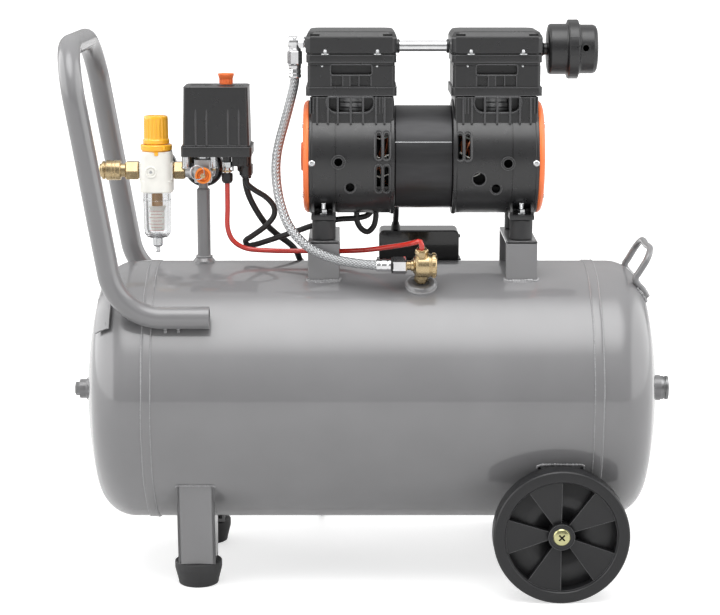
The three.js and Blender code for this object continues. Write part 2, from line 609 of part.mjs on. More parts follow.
function controlGroup() {
  const group = new THREE.Group();
  group.add(mesh('manifold_block', manifoldBlock(), zinc));
  group.add(mesh('safety_pull_ring', pullRing(), zinc));
  group.add(mesh('tank_gauge', gaugeCase(post.x - 2, 483, 24, 12 + gap, 36, 24), glossBlack));
  group.add(mesh('tank_gauge_needle', gaugeNeedle(post.x - 2, 483, 17, 52.4), orangePlastic));
  group.add(mesh('switch_base', switchBase(), blackPlastic));
  group.add(mesh('switch_cover', switchCover(), blackPlastic));
  const knobOutline = [[0, 564], [7, 564], [7, 587.5], [9.5, 591], [9.5, 598], [8, 599.5], [0, 599.5]];
  group.add(mesh('switch_knob', turned('z', knobOutline, -173, 0, 16), orangePlastic));
  return group;
}

function regulatorGroup() {
  const group = new THREE.Group();
  const { x, halfWidth, bottomZ, topZ } = regulator;
  const body = block(x - halfWidth + 0.5, x + halfWidth, -18, 18, bottomZ, topZ);
  const collar = rod('z', 19, topZ - 1, 515.4, x, 0);
  const element = rod('z', 7.8, 438, bottomZ + 1, x, 0, 16);
  const spindleBore = rod('z', 5.6, 490, 517, x, 0);
  group.add(mesh('regulator_body', cut(join(body, collar, element), spindleBore), whitePlastic));
  group.add(mesh('regulator_spindle', rod('z', 5, 491, 543, x, 0, 12), brass));
  const knobOutline = closedOutline([[5.5, 516], [14, 516], [14, 546], [12, 549.2], [5.5, 549.2]]);
  const knob = turned('z', knobOutline, x, 0, 16);
  const knobTop = rod('z', 12, 543.5, 549.2, x, 0, 16);
  group.add(mesh('regulator_knob', join(knob, knobTop), amberPlastic));
  const bowlTop = bottomZ - gap;
  const bowlOutline = [
    [4, 403], [15, 403], [16.7, 407], [16.7, bowlTop], [14.2, bowlTop], [14.2, 408.5],
    [13, 405.8], [4, 405.8],
  ];
  group.add(mesh('filter_bowl', turned('z', closedOutline(bowlOutline), x, 0, 16), clearPlastic));
  const drainTop = 403 - gap;
  const drainStem = [[7, drainTop], [3.6, drainTop], [3.6, 409], [0, 409]];
  const drainOutline = [[0, 385], [4.5, 385], [4.5, 391], [7, 392], ...drainStem];
  group.add(mesh('bowl_drain', turned('z', drainOutline, x, 0, 12), zinc));
  group.add(mesh('regulator_gauge', gaugeCase(x, airLineZ, 21.5, 18 + gap, 25, 20), glossBlack));
  group.add(mesh('regulator_gauge_needle', gaugeNeedle(x, airLineZ, 14.5, 37.4), orangePlastic));
  const coupler = join(
    rod('x', 12, -294, -276.8, 0, airLineZ, 6),
    rod('x', 8, -325, -293, 0, airLineZ, 16),
  );
  const socket = rod('x', 5.2, -326, -302, 0, airLineZ, 12);
  group.add(mesh('coupler_body', cut(coupler, socket), brass));
  group.add(mesh('coupler_sleeve', pipe('x', 12, 8.4, -322, -299.5, 0, airLineZ, 16), brass));
  return group;
}

// ---------------------------------------------------------------- air lines
function airLines() {
  const group = new THREE.Group();
  const checkValve = new THREE.Group();
  checkValve.position.set(valve.x, 0, tank.axisZ);
  checkValve.rotation.x = valve.tilt;
  const base = tank.radius + 6 + gap;
  const body = join(
    rod('z', 9.5, base, base + 7, 0, 0, 6),
    rod('z', 8, base + 6, base + 14, 0, 0, 12),
    rod('z', 10.5, base + 13, base + 34, 0, 0, 12),
    rod('x', 12, -9, 14, 0, base + 23, 16),
    rod('x', 9.5, 13, 18.5, 0, base + 23, 6),
    rod('z', 6.5, base + 33, base + 40, 0, 0, 12),
    rod('z', 7.5, base + 39, base + 46, 0, 0, 6),
    rod('x', 6, -17, 0, 0, base + 23, 12),
  );
  checkValve.add(mesh('check_valve', body, brass));
  group.add(checkValve);

  // A point on the check valve's own axis, at the given height above the tank surface.
  const onValve = (height) => {
    const reach = tank.radius + height;
    return [valve.x, -reach * Math.sin(valve.tilt), tank.axisZ + reach * Math.cos(valve.tilt)];
  };
  const [, portY, portZ] = onValve(6.3 + 23);
  const hoseX = -90.6;
  const hoseRoute = [
    [hoseX, -25, 612], [hoseX, -25, 598], [-91.2, -25, 590], [-94, -26, 576.9], [-98.5, -28.5, 559],
    [-103.5, -31, 541], [-108.5, -34, 523], [-111.8, -37, 507], [-113, -41, 490], [-111.6, -46, 470.5],
    [-107.2, -53, 449.5], [-96.8, -62, 424.5], [-76.5, -70, 403.2], [-46, -75, 389], [-15, -79, 383.5],
    [8, portY + 1, portZ], [26, portY, portZ],
  ];
  const hose = join(
    bentBar(hoseRoute, 5.4, 8, 30),
    rod('z', 7.6, 596, 612, hoseX, -25, 12),
    rod('z', 8.8, 610, 629, hoseX, -25, 6),
    rod('z', 6.6, 628, 637, hoseX, -25, 12),
    rod('x', 7, hoseX - 6.5, motor.x - head.outer - gap, -25, 637.5, 12),
    rod('x', 7.6, 8, 24, portY, portZ, 12),
    rod('x', 10.4, 23, 40, portY, portZ, 6),
  );
  group.add(mesh('delivery_hose', hose, steelBraid));

  const top = onValve(6.3 + 46.3);
  const unloaderX = -172.2;
  const tubeRoute = [
    [unloaderX, -10, 486], [unloaderX, -10, 468], [unloaderX, -10, 440], [unloaderX, -10, 415],
    [-166.5, -9.5, 401], [-152.5, -9, 391.5], [-121, -8, 388], [-80, -7.5, 387.5], [-40, -9, 387.5],
    [-8, -24, 391.1], [17.4, -48, 398], [38.4, -76, 405.5], [49, -90, 410], [55.5, -96.5, 412],
    [valve.x, top[1] - 1.5, top[2] + 3.2], top,
  ];
  const unloader = join(
    bentBar(tubeRoute, 3, 6, 38),
    rod('z', 6, 470, 483, unloaderX, -11, 6),
    rod('z', 4.5, 482, 503 - gap, unloaderX, -11, 8),
  );
  group.add(mesh('unloader_tube', unloader, redTube));
  return group;
}

// ---------------------------------------------------------------- cables
// The lead from the switch to the motor, and the short loop that hangs under the motor and meets it there.
function motorLead() {
  const radius = 3.4;
  const lead = [
    [-149.3, -5, 474.2], [-149.2, -5, 469], [-141.5, -3, 461.5], [-126, 0, 451], [-117.5, 2, 440],
    [-117.2, 4, 429.5], [-126.4, 7, 416.8], [-144.3, 9, 403.1], [-152.5, 10.5, 397],
    [-149.5, 13, 391.3], [-142, 13, 392], [-122.5, 8, 398.5], [-104.3, 4, 405.2], [-88.2, 1, 411],
    [-72.1, 0, 416.8], [-42, 0, 424.5], [-16.1, 0, 426.5], [-4.5, 0, 430], [1.5, 0, 438],
  ];
  const loop = [
    [-17.6, 0, 440], [-18, 0, 431], [-17.4, 0, 422], [-12, 0, 412.9], [-5, 0, 409.6], [1.9, 0, 415.7],
    [4.9, 0, 427], [4.9, 0, 439],
  ];
  const housingTool = rod('x', motor.bodyRadius + 0.5, -80, 200, 0, motor.shaftZ, 28);
  return cut(join(bentBar(lead, radius, 6, 40), bentBar(loop, radius, 6, 10)), housingTool);
}

// The mains cord, uncoiled: gland, over the tank's back, straight down, and across the floor to the coil.
function mainsCord() {
  const reach = tank.radius + cord.radius + 1;
  const onTank = (degrees, x) => {
    const turn = degrees * Math.PI / 180;
    return [x, reach * Math.sin(turn), tank.axisZ + reach * Math.cos(turn)];
  };
  const route = [
    [-151.5, 9, 474.2], [-151.4, 9.3, 467], [-148.5, 12.5, 454], [-142, 17, 438.5], [-129, 23, 417],
    [-115, 29, 402.5], [-100, 36, 390], [-92, 42, 380], onTank(18, -88.5), onTank(30, -84),
    onTank(46, -79), onTank(62, -75), onTank(78, -72), onTank(90, -71), [-70, 160.5, 180],
    [-68.5, 161.5, 140], [-67, 162, 100], [-65.8, 163.5, 62], [-65, 168, 34], [-64.7, 178, 15],
    [-64.5, 192, 6], [-64.5, 208, cord.radius + 0.3], [-64.5, 222, cord.radius + 0.3],
  ];
  return bentBar(route, cord.radius, 6, 34);
}

function mainsCoil() {
  const { coilX, coilY, coilInner, coilOuter, coilTop } = cord;
  return pipe('z', coilOuter, coilInner, 0.2, coilTop, coilX, coilY, 28);
}

// A two-pin plug that lies beside the coil, its cord end towards the coil's last turn.
function mainsPlug() {
  const x = cord.coilX + 29;
  const y = cord.coilY + 51.5;
  const z = 12.5;
  const relief = rod('x', 4.4, x, x + 24, y, z, 12, 7);
  const shell = new THREE.CylinderGeometry(12.2, 9.5, 34, 16).rotateZ(-Math.PI / 2).translate(x + 39, y, z);
  const pins = [-9.5, 9.5].map((offset) => rod('x', 2.4, x + 55, x + 75, y + offset, z, 10));
  const face = block(x + 50, x + 57, y - 14, y + 14, 0.3, 24.5);
  return join(relief, solid(shell), face, ...pins);
}

// ---------------------------------------------------------------- the whole machine
const compressor = new THREE.Group();
compressor.add(tankGroup(), pushHandle(), liftingHandle(), runningGear(), drainGroup());
compressor.add(motorGroup(), mesh('capacitor_box', capacitorBox(), glossBlack));
compressor.add(controlGroup(), regulatorGroup(), airLines());
compressor.add(mesh('motor_lead', motorLead(), blackRubber));
compressor.add(mesh('mains_cord', mainsCord(), blackRubber));
compressor.add(mesh('mains_coil', mainsCoil(), blackRubber));
compressor.add(mesh('mains_plug', mainsPlug(), blackRubber));

export default compressor;
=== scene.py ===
# Visual model of a horizontal-tank air compressor. Blender 4.5, metres; shapes are written in millimetres.
import math
import random

import bmesh
import bpy
from mathutils import Matrix, Vector


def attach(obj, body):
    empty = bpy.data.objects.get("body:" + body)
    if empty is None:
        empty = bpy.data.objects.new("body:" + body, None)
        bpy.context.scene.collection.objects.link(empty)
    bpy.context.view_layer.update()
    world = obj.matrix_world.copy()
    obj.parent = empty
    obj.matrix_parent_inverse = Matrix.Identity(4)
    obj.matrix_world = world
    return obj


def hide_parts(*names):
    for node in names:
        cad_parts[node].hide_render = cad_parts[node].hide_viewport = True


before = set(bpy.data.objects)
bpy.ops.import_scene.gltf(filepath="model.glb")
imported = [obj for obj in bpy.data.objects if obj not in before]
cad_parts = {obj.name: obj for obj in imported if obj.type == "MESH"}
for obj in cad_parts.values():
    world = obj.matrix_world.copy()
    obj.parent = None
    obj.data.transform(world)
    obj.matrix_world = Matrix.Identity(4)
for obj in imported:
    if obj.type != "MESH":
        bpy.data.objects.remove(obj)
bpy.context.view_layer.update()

MM = 0.001
BODY = "machine"
random.seed(7)
collection = bpy.context.scene.collection


# ---------------------------------------------------------------- camera
CAMERA_AT = (-17.5, -2540.6, 778.3)
CAMERA_PITCH = 10.289
CAMERA_YAW = 0.078
camera = bpy.data.objects.new("camera", bpy.data.cameras.new("camera"))
collection.objects.link(camera)
camera.location = [v * MM for v in CAMERA_AT]
camera.rotation_euler = (math.radians(90 - CAMERA_PITCH), 0, -math.radians(CAMERA_YAW))
camera.data.lens = 106.75
camera.data.sensor_width = 36
camera.data.sensor_fit = "HORIZONTAL"
camera.data.clip_end = 50
bpy.context.scene.camera = camera


# ---------------------------------------------------------------- materials
def math_node(nodes, links, operation, first, second=0.0):
    """A Math node's output. Its inputs are numbers or other nodes' outputs."""
    node = nodes.new("ShaderNodeMath")
    node.operation = operation
    for slot, value in zip(node.inputs, (first, second)):
        if isinstance(value, (int, float)):
            slot.default_value = value
        else:
            links.new(value, slot)
    return node.outputs[0]


class Look:
    """A material under construction: a Principled shader and the nodes that drive it."""

    def __init__(self, name, color, roughness, metallic=0.0, **sockets):
        self.material = bpy.data.materials.new(name)
        self.material.use_nodes = True
        self.nodes = self.material.node_tree.nodes
        self.links = self.material.node_tree.links
        self.shader = self.nodes["Principled BSDF"]
        self.shader.inputs["Base Color"].default_value = (*color, 1)
        self.shader.inputs["Roughness"].default_value = roughness
        self.shader.inputs["Metallic"].default_value = metallic
        for socket, value in sockets.items():
            self.shader.inputs[socket.replace("_", " ")].default_value = value
        self.color = color
        self.height = None

    def add(self, kind, **settings):
        node = self.nodes.new(kind)
        for key, value in settings.items():
            if key in node.inputs:
                node.inputs[key].default_value = value
            else:
                setattr(node, key, value)
        return node

    def place(self, scale=(1, 1, 1)):
        mapping = self.add("ShaderNodeMapping", Scale=scale)
        self.links.new(self.add("ShaderNodeTexCoord").outputs["Object"], mapping.inputs["Vector"])
        return mapping.outputs["Vector"]

    def noise(self, size_mm, detail, stretch=(1, 1, 1)):
        """Noise whose features are about size_mm across."""
        node = self.add("ShaderNodeTexNoise", Scale=1 / (size_mm * MM), Detail=detail)
        self.links.new(self.place(stretch), node.inputs["Vector"])
        return node.outputs["Fac"]

    def span(self, value, low, high, start=0.3, end=0.7):
        node = self.add("ShaderNodeMapRange")
        for key, number in (("From Min", start), ("From Max", end), ("To Min", low), ("To Max", high)):
            node.inputs[key].default_value = number
        self.links.new(value, node.inputs["Value"])
        return node.outputs["Result"]

    def math(self, operation, first, second=0.0):
        return math_node(self.nodes, self.links, operation, first, second)

    def tint(self, value, dark, light):
        """Base colour from the dark multiple of the colour to the light one, following value."""
        mix = self.add("ShaderNodeMix", data_type="RGBA")
        colour_sockets = [s for s in mix.inputs if s.type == "RGBA"]
        colour_sockets[0].default_value = (*[min(1, c * dark) for c in self.color], 1)
        colour_sockets[1].default_value = (*[min(1, c * light) for c in self.color], 1)
        self.links.new(value, mix.inputs["Factor"])
        self.links.new(next(o for o in mix.outputs if o.type == "RGBA"), self.shader.inputs["Base Color"])

    def rough(self, value, low, high):
        self.links.new(self.span(value, low, high), self.shader.inputs["Roughness"])

    def bump(self, value, depth_mm, strength=1.0):
        node = self.add("ShaderNodeBump", Distance=depth_mm * MM, Strength=strength)
        self.links.new(value, node.inputs["Height"])
        if self.height is not None:
            self.links.new(self.height, node.inputs["Normal"])
        self.height = node.outputs["Normal"]
        self.links.new(self.height, self.shader.inputs["Normal"])


def painted(name, color):
    look = Look(name, color, 0.4, 0.0, Coat_Weight=1.0, Coat_Roughness=0.045, Coat_IOR=1.56)
    look.tint(look.span(look.noise(60, 2), 0, 1), 0.96, 1.04)
    look.rough(look.noise(25, 4), 0.33, 0.39)
    look.bump(look.noise(2.2, 2), 0.02)
    look.bump(look.noise(14, 1), 0.03, 0.6)
    return look.material


def moulded(name, color, roughness, grain_mm=0.9, depth=0.02, **sockets):
    look = Look(name, color, roughness, 0.0, **sockets)
    look.tint(look.span(look.noise(30, 3), 0, 1), 0.92, 1.08)
    look.rough(look.noise(8, 4), roughness * 0.88, roughness * 1.12)
    look.bump(look.noise(grain_mm, 2), depth)
    return look.material


def metal(name, color, roughness, stretch=(1, 1, 1), grain_mm=1.2, depth=0.003):
    look = Look(name, color, roughness, 1.0)
    look.tint(look.span(look.noise(12, 3), 0, 1), 0.93, 1.05)
    look.rough(look.noise(5, 3, stretch), roughness * 0.85, roughness * 1.2)
    look.bump(look.noise(grain_mm, 2, stretch), depth)
    return look.material


def laminations(name, color):
    """A blackened stack of laminations along X, with a fine grain."""
    look = Look(name, color, 0.38, 0.75)
    look.tint(look.span(look.noise(6, 3, (0.15, 1, 1)), 0, 1), 0.9, 1.1)
    look.rough(look.noise(5, 2, (0.2, 1, 1)), 0.36, 0.42)
    wave = look.add("ShaderNodeTexWave", Scale=1 / (1.9 * MM), Distortion=0.4, bands_direction="X")
    look.links.new(look.place(), wave.inputs["Vector"])
    look.bump(wave.outputs["Fac"], 0.02, 0.5)
    look.bump(look.noise(1.5, 2, (0.3, 1, 1)), 0.006)
    return look.material


BRAID_WIRES, BRAID_TURNS, BRAID_STEP = 10, 0.22, 0.7


def braid_height(i, turn):
    """How far the woven wires stand out, 0 to 1, at a row of the hose and an angle round it."""
    around, onward = BRAID_WIRES * turn / 2, BRAID_TURNS * BRAID_STEP * i * math.pi
    right, left = math.sin(around + onward), math.sin(around - onward)
    return abs(right) if right * left > 0 else abs(left)


def braid(name, color):
    """Woven steel wires: two families of helices that pass over and under. U runs round, V along."""
    look = Look(name, color, 0.3, 1.0)
    coordinates = look.add("ShaderNodeTexCoord").outputs["UV"]
    split = look.add("ShaderNodeSeparateXYZ")
    look.links.new(coordinates, split.inputs["Vector"])
    around, onward = split.outputs["X"], split.outputs["Y"]
    right, left = [look.math(operation, look.math("MULTIPLY", around, BRAID_WIRES),
                             look.math("MULTIPLY", onward, BRAID_TURNS / MM))
                   for operation in ("ADD", "SUBTRACT")]

    def sine(value):
        return look.math("SINE", look.math("MULTIPLY", value, math.pi))

    strands = [look.math("ABSOLUTE", sine(value)) for value in (right, left)]
    turns = look.math("MULTIPLY", sine(right), sine(left))
    over = look.math("GREATER_THAN", turns, 0)
    under = look.math("SUBTRACT", 1.0, over)
    height = look.math("ADD", look.math("MULTIPLY", strands[0], over),
                       look.math("MULTIPLY", strands[1], under))
    # The colour darkens where a wire dips under its neighbour: painted shade in the gaps of the weave.
    look.tint(look.span(height, 0, 1, 0.05, 0.75), 0.18, 1.05)
    look.bump(height, 0.5)
    return look.material


def clear(name, color, roughness, ior):
    look = Look(name, color, roughness, 0.0, Transmission_Weight=1.0, IOR=ior)
    # The colour darkens towards the edges seen at a slant: painted shade on the rims of clear parts.
    edge = look.add("ShaderNodeLayerWeight", Blend=0.5).outputs["Facing"]
    look.tint(look.math("POWER", edge, 3.0), 1.0, 0.55)
    look.rough(look.noise(10, 3), roughness, roughness + 0.03)
    look.bump(look.noise(9, 2), 0.02)
    return look.material


GREY = painted("grey_paint", (0.163, 0.162, 0.166))
# Weld beads get a lighter grey than the tank's own paint: a painted highlight on the welds.
WELD_HIGHLIGHT = painted("grey_paint_painted_weld_highlight", (0.24, 0.24, 0.245))
BLACK = moulded("black_plastic", (0.0142, 0.0142, 0.015), 0.3, Specular_IOR_Level=0.7)
SATIN = moulded("black_satin_plastic", (0.011, 0.011, 0.012), 0.34, 0.7, 0.03)
# A lighter black for ribs, rims and thin lines along edges: a painted highlight on those edges.
EDGE_HIGHLIGHT = moulded("black_plastic_painted_edge_highlight", (0.06, 0.06, 0.062), 0.3)
GLOSS = moulded("gloss_black_plastic", (0.008, 0.008, 0.009), 0.14, 4, 0.01, Coat_Weight=0.5,
                Coat_Roughness=0.05)
RUBBER = moulded("black_rubber", (0.024, 0.024, 0.025), 0.5, 1.4, 0.04)
CABLE = moulded("black_cable_sheath", (0.016, 0.016, 0.017), 0.4, 1.2, 0.02)
ORANGE = moulded("orange_plastic", (0.9, 0.19, 0.05), 0.34, 1.2, 0.015)
SAFETY = moulded("light_orange_plastic", (0.92, 0.25, 0.03), 0.34, 1.2, 0.012)
AMBER = moulded("amber_plastic", (0.95, 0.46, 0.03), 0.22, 3, 0.01, Coat_Weight=0.5, Coat_Roughness=0.08)
WHITE = moulded("white_plastic", (0.8, 0.79, 0.74), 0.36, 1.2, 0.012)
SINTER = moulded("sintered_bronze", (0.42, 0.24, 0.1), 0.7, 0.5, 0.12)
COPPER = metal("copper_winding", (0.62, 0.23, 0.12), 0.3, (1, 1, 1), 1.0, 0.05)
RED = moulded("red_tube", (0.56, 0.022, 0.01), 0.16, 3, 0.004, Coat_Weight=1.0, Coat_Roughness=0.05)
BRASS = metal("brass", (0.58, 0.45, 0.26), 0.26)
ZINC = metal("zinc_plate", (0.72, 0.73, 0.74), 0.2)
CHROME = metal("bright_tube", (0.8, 0.8, 0.81), 0.12, (0.1, 1, 1), 1.0, 0.004)
YELLOW_ZINC = metal("yellow_zinc", (0.62, 0.6, 0.32), 0.22)
CAST = metal("cast_aluminium", (0.6, 0.605, 0.61), 0.4, (1, 1, 1), 0.8, 0.03)
STEEL = metal("dull_steel", (0.26, 0.262, 0.265), 0.36)
DARK = laminations("blackened_steel", (0.052, 0.052, 0.054))
BRAID = braid("steel_braid", (0.62, 0.63, 0.64))
CLEAR = clear("clear_plastic", (0.97, 0.975, 0.98), 0.03, 1.45)
# A near-black for painted shade: discs and sheets set where holes and recesses fall into shade. The gauges'
# ticks, which are print, use it too.
SHADE_AND_INK = moulded("painted_shade_and_ink_black", (0.006, 0.006, 0.006), 0.8)


# ---------------------------------------------------------------- shells: (corners, faces) in millimetres
def box(x0, x1, y0, y1, z0, z1, edge=0.0, steps=2):
    mesh = bmesh.new()
    bmesh.ops.create_cube(mesh, size=1)
    for v in mesh.verts:
        v.co = Vector(((x0 + x1) / 2 + v.co.x * (x1 - x0), (y0 + y1) / 2 + v.co.y * (y1 - y0),
                       (z0 + z1) / 2 + v.co.z * (z1 - z0)))
    return opened(rounded_edges(mesh, edge, steps))


def rounded_edges(mesh, edge, steps, sharpest=25):
    if edge > 0:
        edges = [e for e in mesh.edges if e.calc_face_angle(0) > math.radians(sharpest)]
        bmesh.ops.bevel(mesh, geom=edges, offset=edge, segments=steps, profile=0.5, affect="EDGES")
    return mesh


def opened(mesh):
    mesh.verts.ensure_lookup_table()
    mesh.verts.index_update()
    shell = [tuple(v.co) for v in mesh.verts], [[v.index for v in f.verts] for f in mesh.faces]
    mesh.free()
    return shell


def prism(axis, outline, low, high, edge=0.0, steps=2, sharpest=25):
    """The outline's points are (y, z), (x, z) or (x, y), for an axis along x, y or z."""
    spots = {"x": lambda a, b, t: (t, a, b), "y": lambda a, b, t: (a, t, b), "z": lambda a, b, t: (a, b, t)}
    mesh = bmesh.new()
    rings = [[mesh.verts.new(spots[axis](a, b, t)) for a, b in outline] for t in (low, high)]
    count = len(outline)
    for i in range(count):
        j = (i + 1) % count
        mesh.faces.new([rings[0][i], rings[0][j], rings[1][j], rings[1][i]])
    mesh.faces.new(rings[0])
    mesh.faces.new(rings[1])
    bmesh.ops.recalc_face_normals(mesh, faces=mesh.faces)
    return opened(rounded_edges(mesh, edge, steps, sharpest))


def on_axis(axis, a, b, radius, turn, t):
    c, s = radius * math.cos(turn), radius * math.sin(turn)
    return {"x": (t, a + c, b + s), "y": (a + c, t, b + s), "z": (a + c, b + s, t)}[axis]


def around(x, radius, turn, height):
    """A point on a circle round a line along X that lies at that height."""
    return (x, radius * math.cos(turn), height + radius * math.sin(turn))


def between(side, a, b):
    """Two places along an axis, both counted from the middle towards one side, the lower one first."""
    return sorted((side * a, side * b))


def lathe(axis, profile, a=0.0, b=0.0, sides=48, closed=False):
    """The profile's points are (radius, place along the axis). Points at radius 0 become poles."""
    corners, rows, faces = [], [], []
    for radius, t in profile:
        if radius < 1e-6:
            rows.append([len(corners)])
            corners.append(on_axis(axis, a, b, 0, 0, t))
        else:
            rows.append(list(range(len(corners), len(corners) + sides)))
            corners += [on_axis(axis, a, b, radius, 2 * math.pi * i / sides, t) for i in range(sides)]
    pairs = list(zip(rows, rows[1:])) + ([(rows[-1], rows[0])] if closed else [])
    for low, high in pairs:
        for i in range(sides):
            j = (i + 1) % sides
            if len(low) == 1 and len(high) == 1:
                continue
            if len(low) == 1:
                faces.append([low[0], high[j], high[i]])
            elif len(high) == 1:
                faces.append([low[i], low[j], high[0]])
            else:
                faces.append([low[i], low[j], high[j], high[i]])
    return corners, faces


def fillet(profile, radius, steps=3, closed=False):
    """The profile with its corners rounded."""
    points = [Vector(p) for p in profile]
    count = len(points)
    out = []
    for i, here in enumerate(points):
        if not closed and i in (0, count - 1):
            out.append(tuple(here))
            continue
        back, on = points[i - 1] - here, points[(i + 1) % count] - here
        if back.length < 1e-6 or on.length < 1e-6:
            continue
        angle = back.angle(on)
        if angle > math.radians(165):
            out.append(tuple(here))
            continue
        reach = min(radius / math.tan(angle / 2), back.length * 0.45, on.length * 0.45)
        start, end = here + back.normalized() * reach, here + on.normalized() * reach
        for k in range(steps + 1):
            t = k / steps
            out.append(tuple(start * (1 - t) ** 2 + here * 2 * t * (1 - t) + end * t ** 2))
    return out


def bar(axis, radius, low, high, a=0.0, b=0.0, sides=32, edge=0.4, end_radius=None):
    """A round or many-sided bar with softened ends."""
    top = radius if end_radius is None else end_radius
    profile = fillet([(0, low), (radius, low), (top, high), (0, high)], edge)
    return lathe(axis, profile, a, b, sides)


def hexagon(axis, across, low, high, a=0.0, b=0.0, turn=0.0):
    """A hexagon nut or bar, with the corners of its ends turned off. across is the size over its corners."""
    size = across / 2
    ends = size * 0.12
    rows = [(0, low), (size * 0.86, low), (size, low + ends), (size, high - ends), (size * 0.86, high),
            (0, high)]
    corners, faces = lathe(axis, rows, 0, 0, 6)
    place = {"x": (0, a, b), "y": (a, 0, b), "z": (a, b, 0)}[axis]
    return shifted(turned((corners, faces), axis, turn), place)


def turning(axis, profile, soften, a, b, sides, closed=False):
    """A lathed part whose profile is given with sharp corners and gets soft ones."""
    return lathe(axis, fillet(profile, soften, 2 if closed else 3, closed), a, b, sides, closed)


def ring(axis, outer, inner, low, high, a=0.0, b=0.0, sides=48, edge=0.3):
    profile = fillet([(inner, low), (outer, low), (outer, high), (inner, high)], edge, 2, True)
    return lathe(axis, profile, a, b, sides, True)


def torus(axis, radius, thickness, t, a=0.0, b=0.0, sides=40, section=12):
    circle = [(radius + thickness * math.cos(2 * math.pi * k / section),
               t + thickness * math.sin(2 * math.pi * k / section)) for k in range(section)]
    return lathe(axis, circle, a, b, sides, True)


def smooth_path(points, step=4.0):
    """A Catmull-Rom line (centripetal) through the points, in steps of about the given length."""
    points = [Vector(p) for p in points]
    ends = [points[0] * 2 - points[1], *points, points[-1] * 2 - points[-2]]
    path = []
    for p0, p1, p2, p3 in zip(ends, ends[1:], ends[2:], ends[3:]):
        t1 = (p1 - p0).length ** 0.5
        t2 = t1 + (p2 - p1).length ** 0.5
        t3 = t2 + (p3 - p2).length ** 0.5
        count = max(1, round((p2 - p1).length / step))
        for k in range(count):
            t = t1 + (t2 - t1) * k / count
            a1 = p0 * ((t1 - t) / t1) + p1 * (t / t1)
            a2 = p1 * ((t2 - t) / (t2 - t1)) + p2 * ((t - t1) / (t2 - t1))
            a3 = p2 * ((t3 - t) / (t3 - t2)) + p3 * ((t - t2) / (t3 - t2))
            b1 = a1 * ((t2 - t) / t2) + a2 * (t / t2)
            b2 = a2 * ((t3 - t) / (t3 - t1)) + a3 * ((t - t1) / (t3 - t1))
            path.append(b1 * ((t2 - t) / (t2 - t1)) + b2 * ((t - t1) / (t2 - t1)))
    path.append(points[-1])
    return path


def arcs(corners, radii, steps=10):
    """Straight runs joined by round bends."""
    points = [Vector(p) for p in corners]
    path = [points[0]]
    for i, radius in enumerate(radii, 1):
        back, on = (points[i - 1] - points[i]).normalized(), (points[i + 1] - points[i]).normalized()
        half = back.angle(on) / 2
        middle = points[i] + (back + on).normalized() * (radius / math.sin(half))
        start = points[i] + back * (radius / math.tan(half)) - middle
        end = points[i] + on * (radius / math.tan(half)) - middle
        sweep = start.angle(end)
        for k in range(steps + 1):
            t = sweep * k / steps
            path.append(middle + (start * math.sin(sweep - t) + end * math.sin(t)) / math.sin(sweep))
    return [*path, points[-1]]


def tube(path, radius, sides, loop=False, swell=None):
    """A round tube along a path. swell(i, turn) scales the radius."""
    path = [Vector(p) for p in path]
    count = len(path)
    corners, faces = [], []
    heading = (path[1] - path[0]).normalized()
    side = heading.orthogonal().normalized()
    for i, spot in enumerate(path):
        before = path[i - 1] if i or loop else spot
        after = path[(i + 1) % count] if i < count - 1 or loop else spot
        heading = (after - before).normalized()
        side = (side - heading * side.dot(heading)).normalized()
        up = heading.cross(side)
        for k in range(sides):
            turn = 2 * math.pi * k / sides
            r = radius * (swell(i, turn) if swell else 1)
            corners.append(tuple(spot + side * (r * math.cos(turn)) + up * (r * math.sin(turn))))
    rows = count if loop else count - 1
    for i in range(rows):
        for k in range(sides):
            j, n = (k + 1) % sides, (i + 1) % count
            faces.append([i * sides + k, i * sides + j, n * sides + j, n * sides + k])
    if not loop:
        faces.append(list(range(sides))[::-1])
        faces.append([(count - 1) * sides + k for k in range(sides)])
    return corners, faces


def rounded_rect(x, y, half_x, half_y, radius, steps=5):
    points = []
    for k, (sx, sy) in enumerate(((1, 1), (-1, 1), (-1, -1), (1, -1))):
        for i in range(steps + 1):
            turn = math.pi / 2 * (k + i / steps)
            points.append((x + sx * (half_x - radius) + radius * math.cos(turn),
                           y + sy * (half_y - radius) + radius * math.sin(turn)))
    return points


def skin_of_rows(count, rows):
    """Faces of a closed tube whose corners come in rows of count, and its two end caps."""
    faces = []
    for row in range(rows - 1):
        for i in range(count):
            j = (i + 1) % count
            faces.append([row * count + i, row * count + j, (row + 1) * count + j, (row + 1) * count + i])
    return faces + [list(range(count))[::-1], [(rows - 1) * count + i for i in range(count)]]


def loft(sections):
    """Closed outlines of (x, y) points, each at its own height z, joined into a capped shell."""
    corners = [(x, y, z) for outline, z in sections for x, y in outline]
    return corners, skin_of_rows(len(sections[0][0]), len(sections))


def soft_block(x, y, half_x, half_y, low, high, radius, edge):
    """An upright block with round corners and soft top and bottom edges."""
    sections = [(low, edge), (low + edge * 0.3, edge * 0.3), (low + edge, 0), (high - edge, 0),
                (high - edge * 0.3, edge * 0.3), (high, edge)]
    return loft([(rounded_rect(x, y, half_x - inset, half_y - inset, max(0.4, radius - inset * 0.6)), z)
                 for z, inset in sections])


def turned(shell, axis, degrees, about=(0, 0, 0)):
    spin = Matrix.Rotation(math.radians(degrees), 3, axis.upper())
    centre = Vector(about)
    return [tuple(spin @ (Vector(p) - centre) + centre) for p in shell[0]], shell[1]


def shifted(shell, by):
    return [tuple(Vector(p) + Vector(by)) for p in shell[0]], shell[1]


def weld_bead(path, radius=1.6, pitch=2.6, loop=False):
    """A lumpy bead of weld along a path."""
    lumps = [random.uniform(0.8, 1.25) for _ in range(400)]
    fine = smooth_path(path, 0.8) if not loop else path

    def swell(i, turn):
        wave = i * 0.8 / pitch
        return lumps[int(wave) % 400] * (0.8 + 0.35 * abs(math.sin(math.pi * wave)))

    return tube(fine, radius, 8, loop, swell)


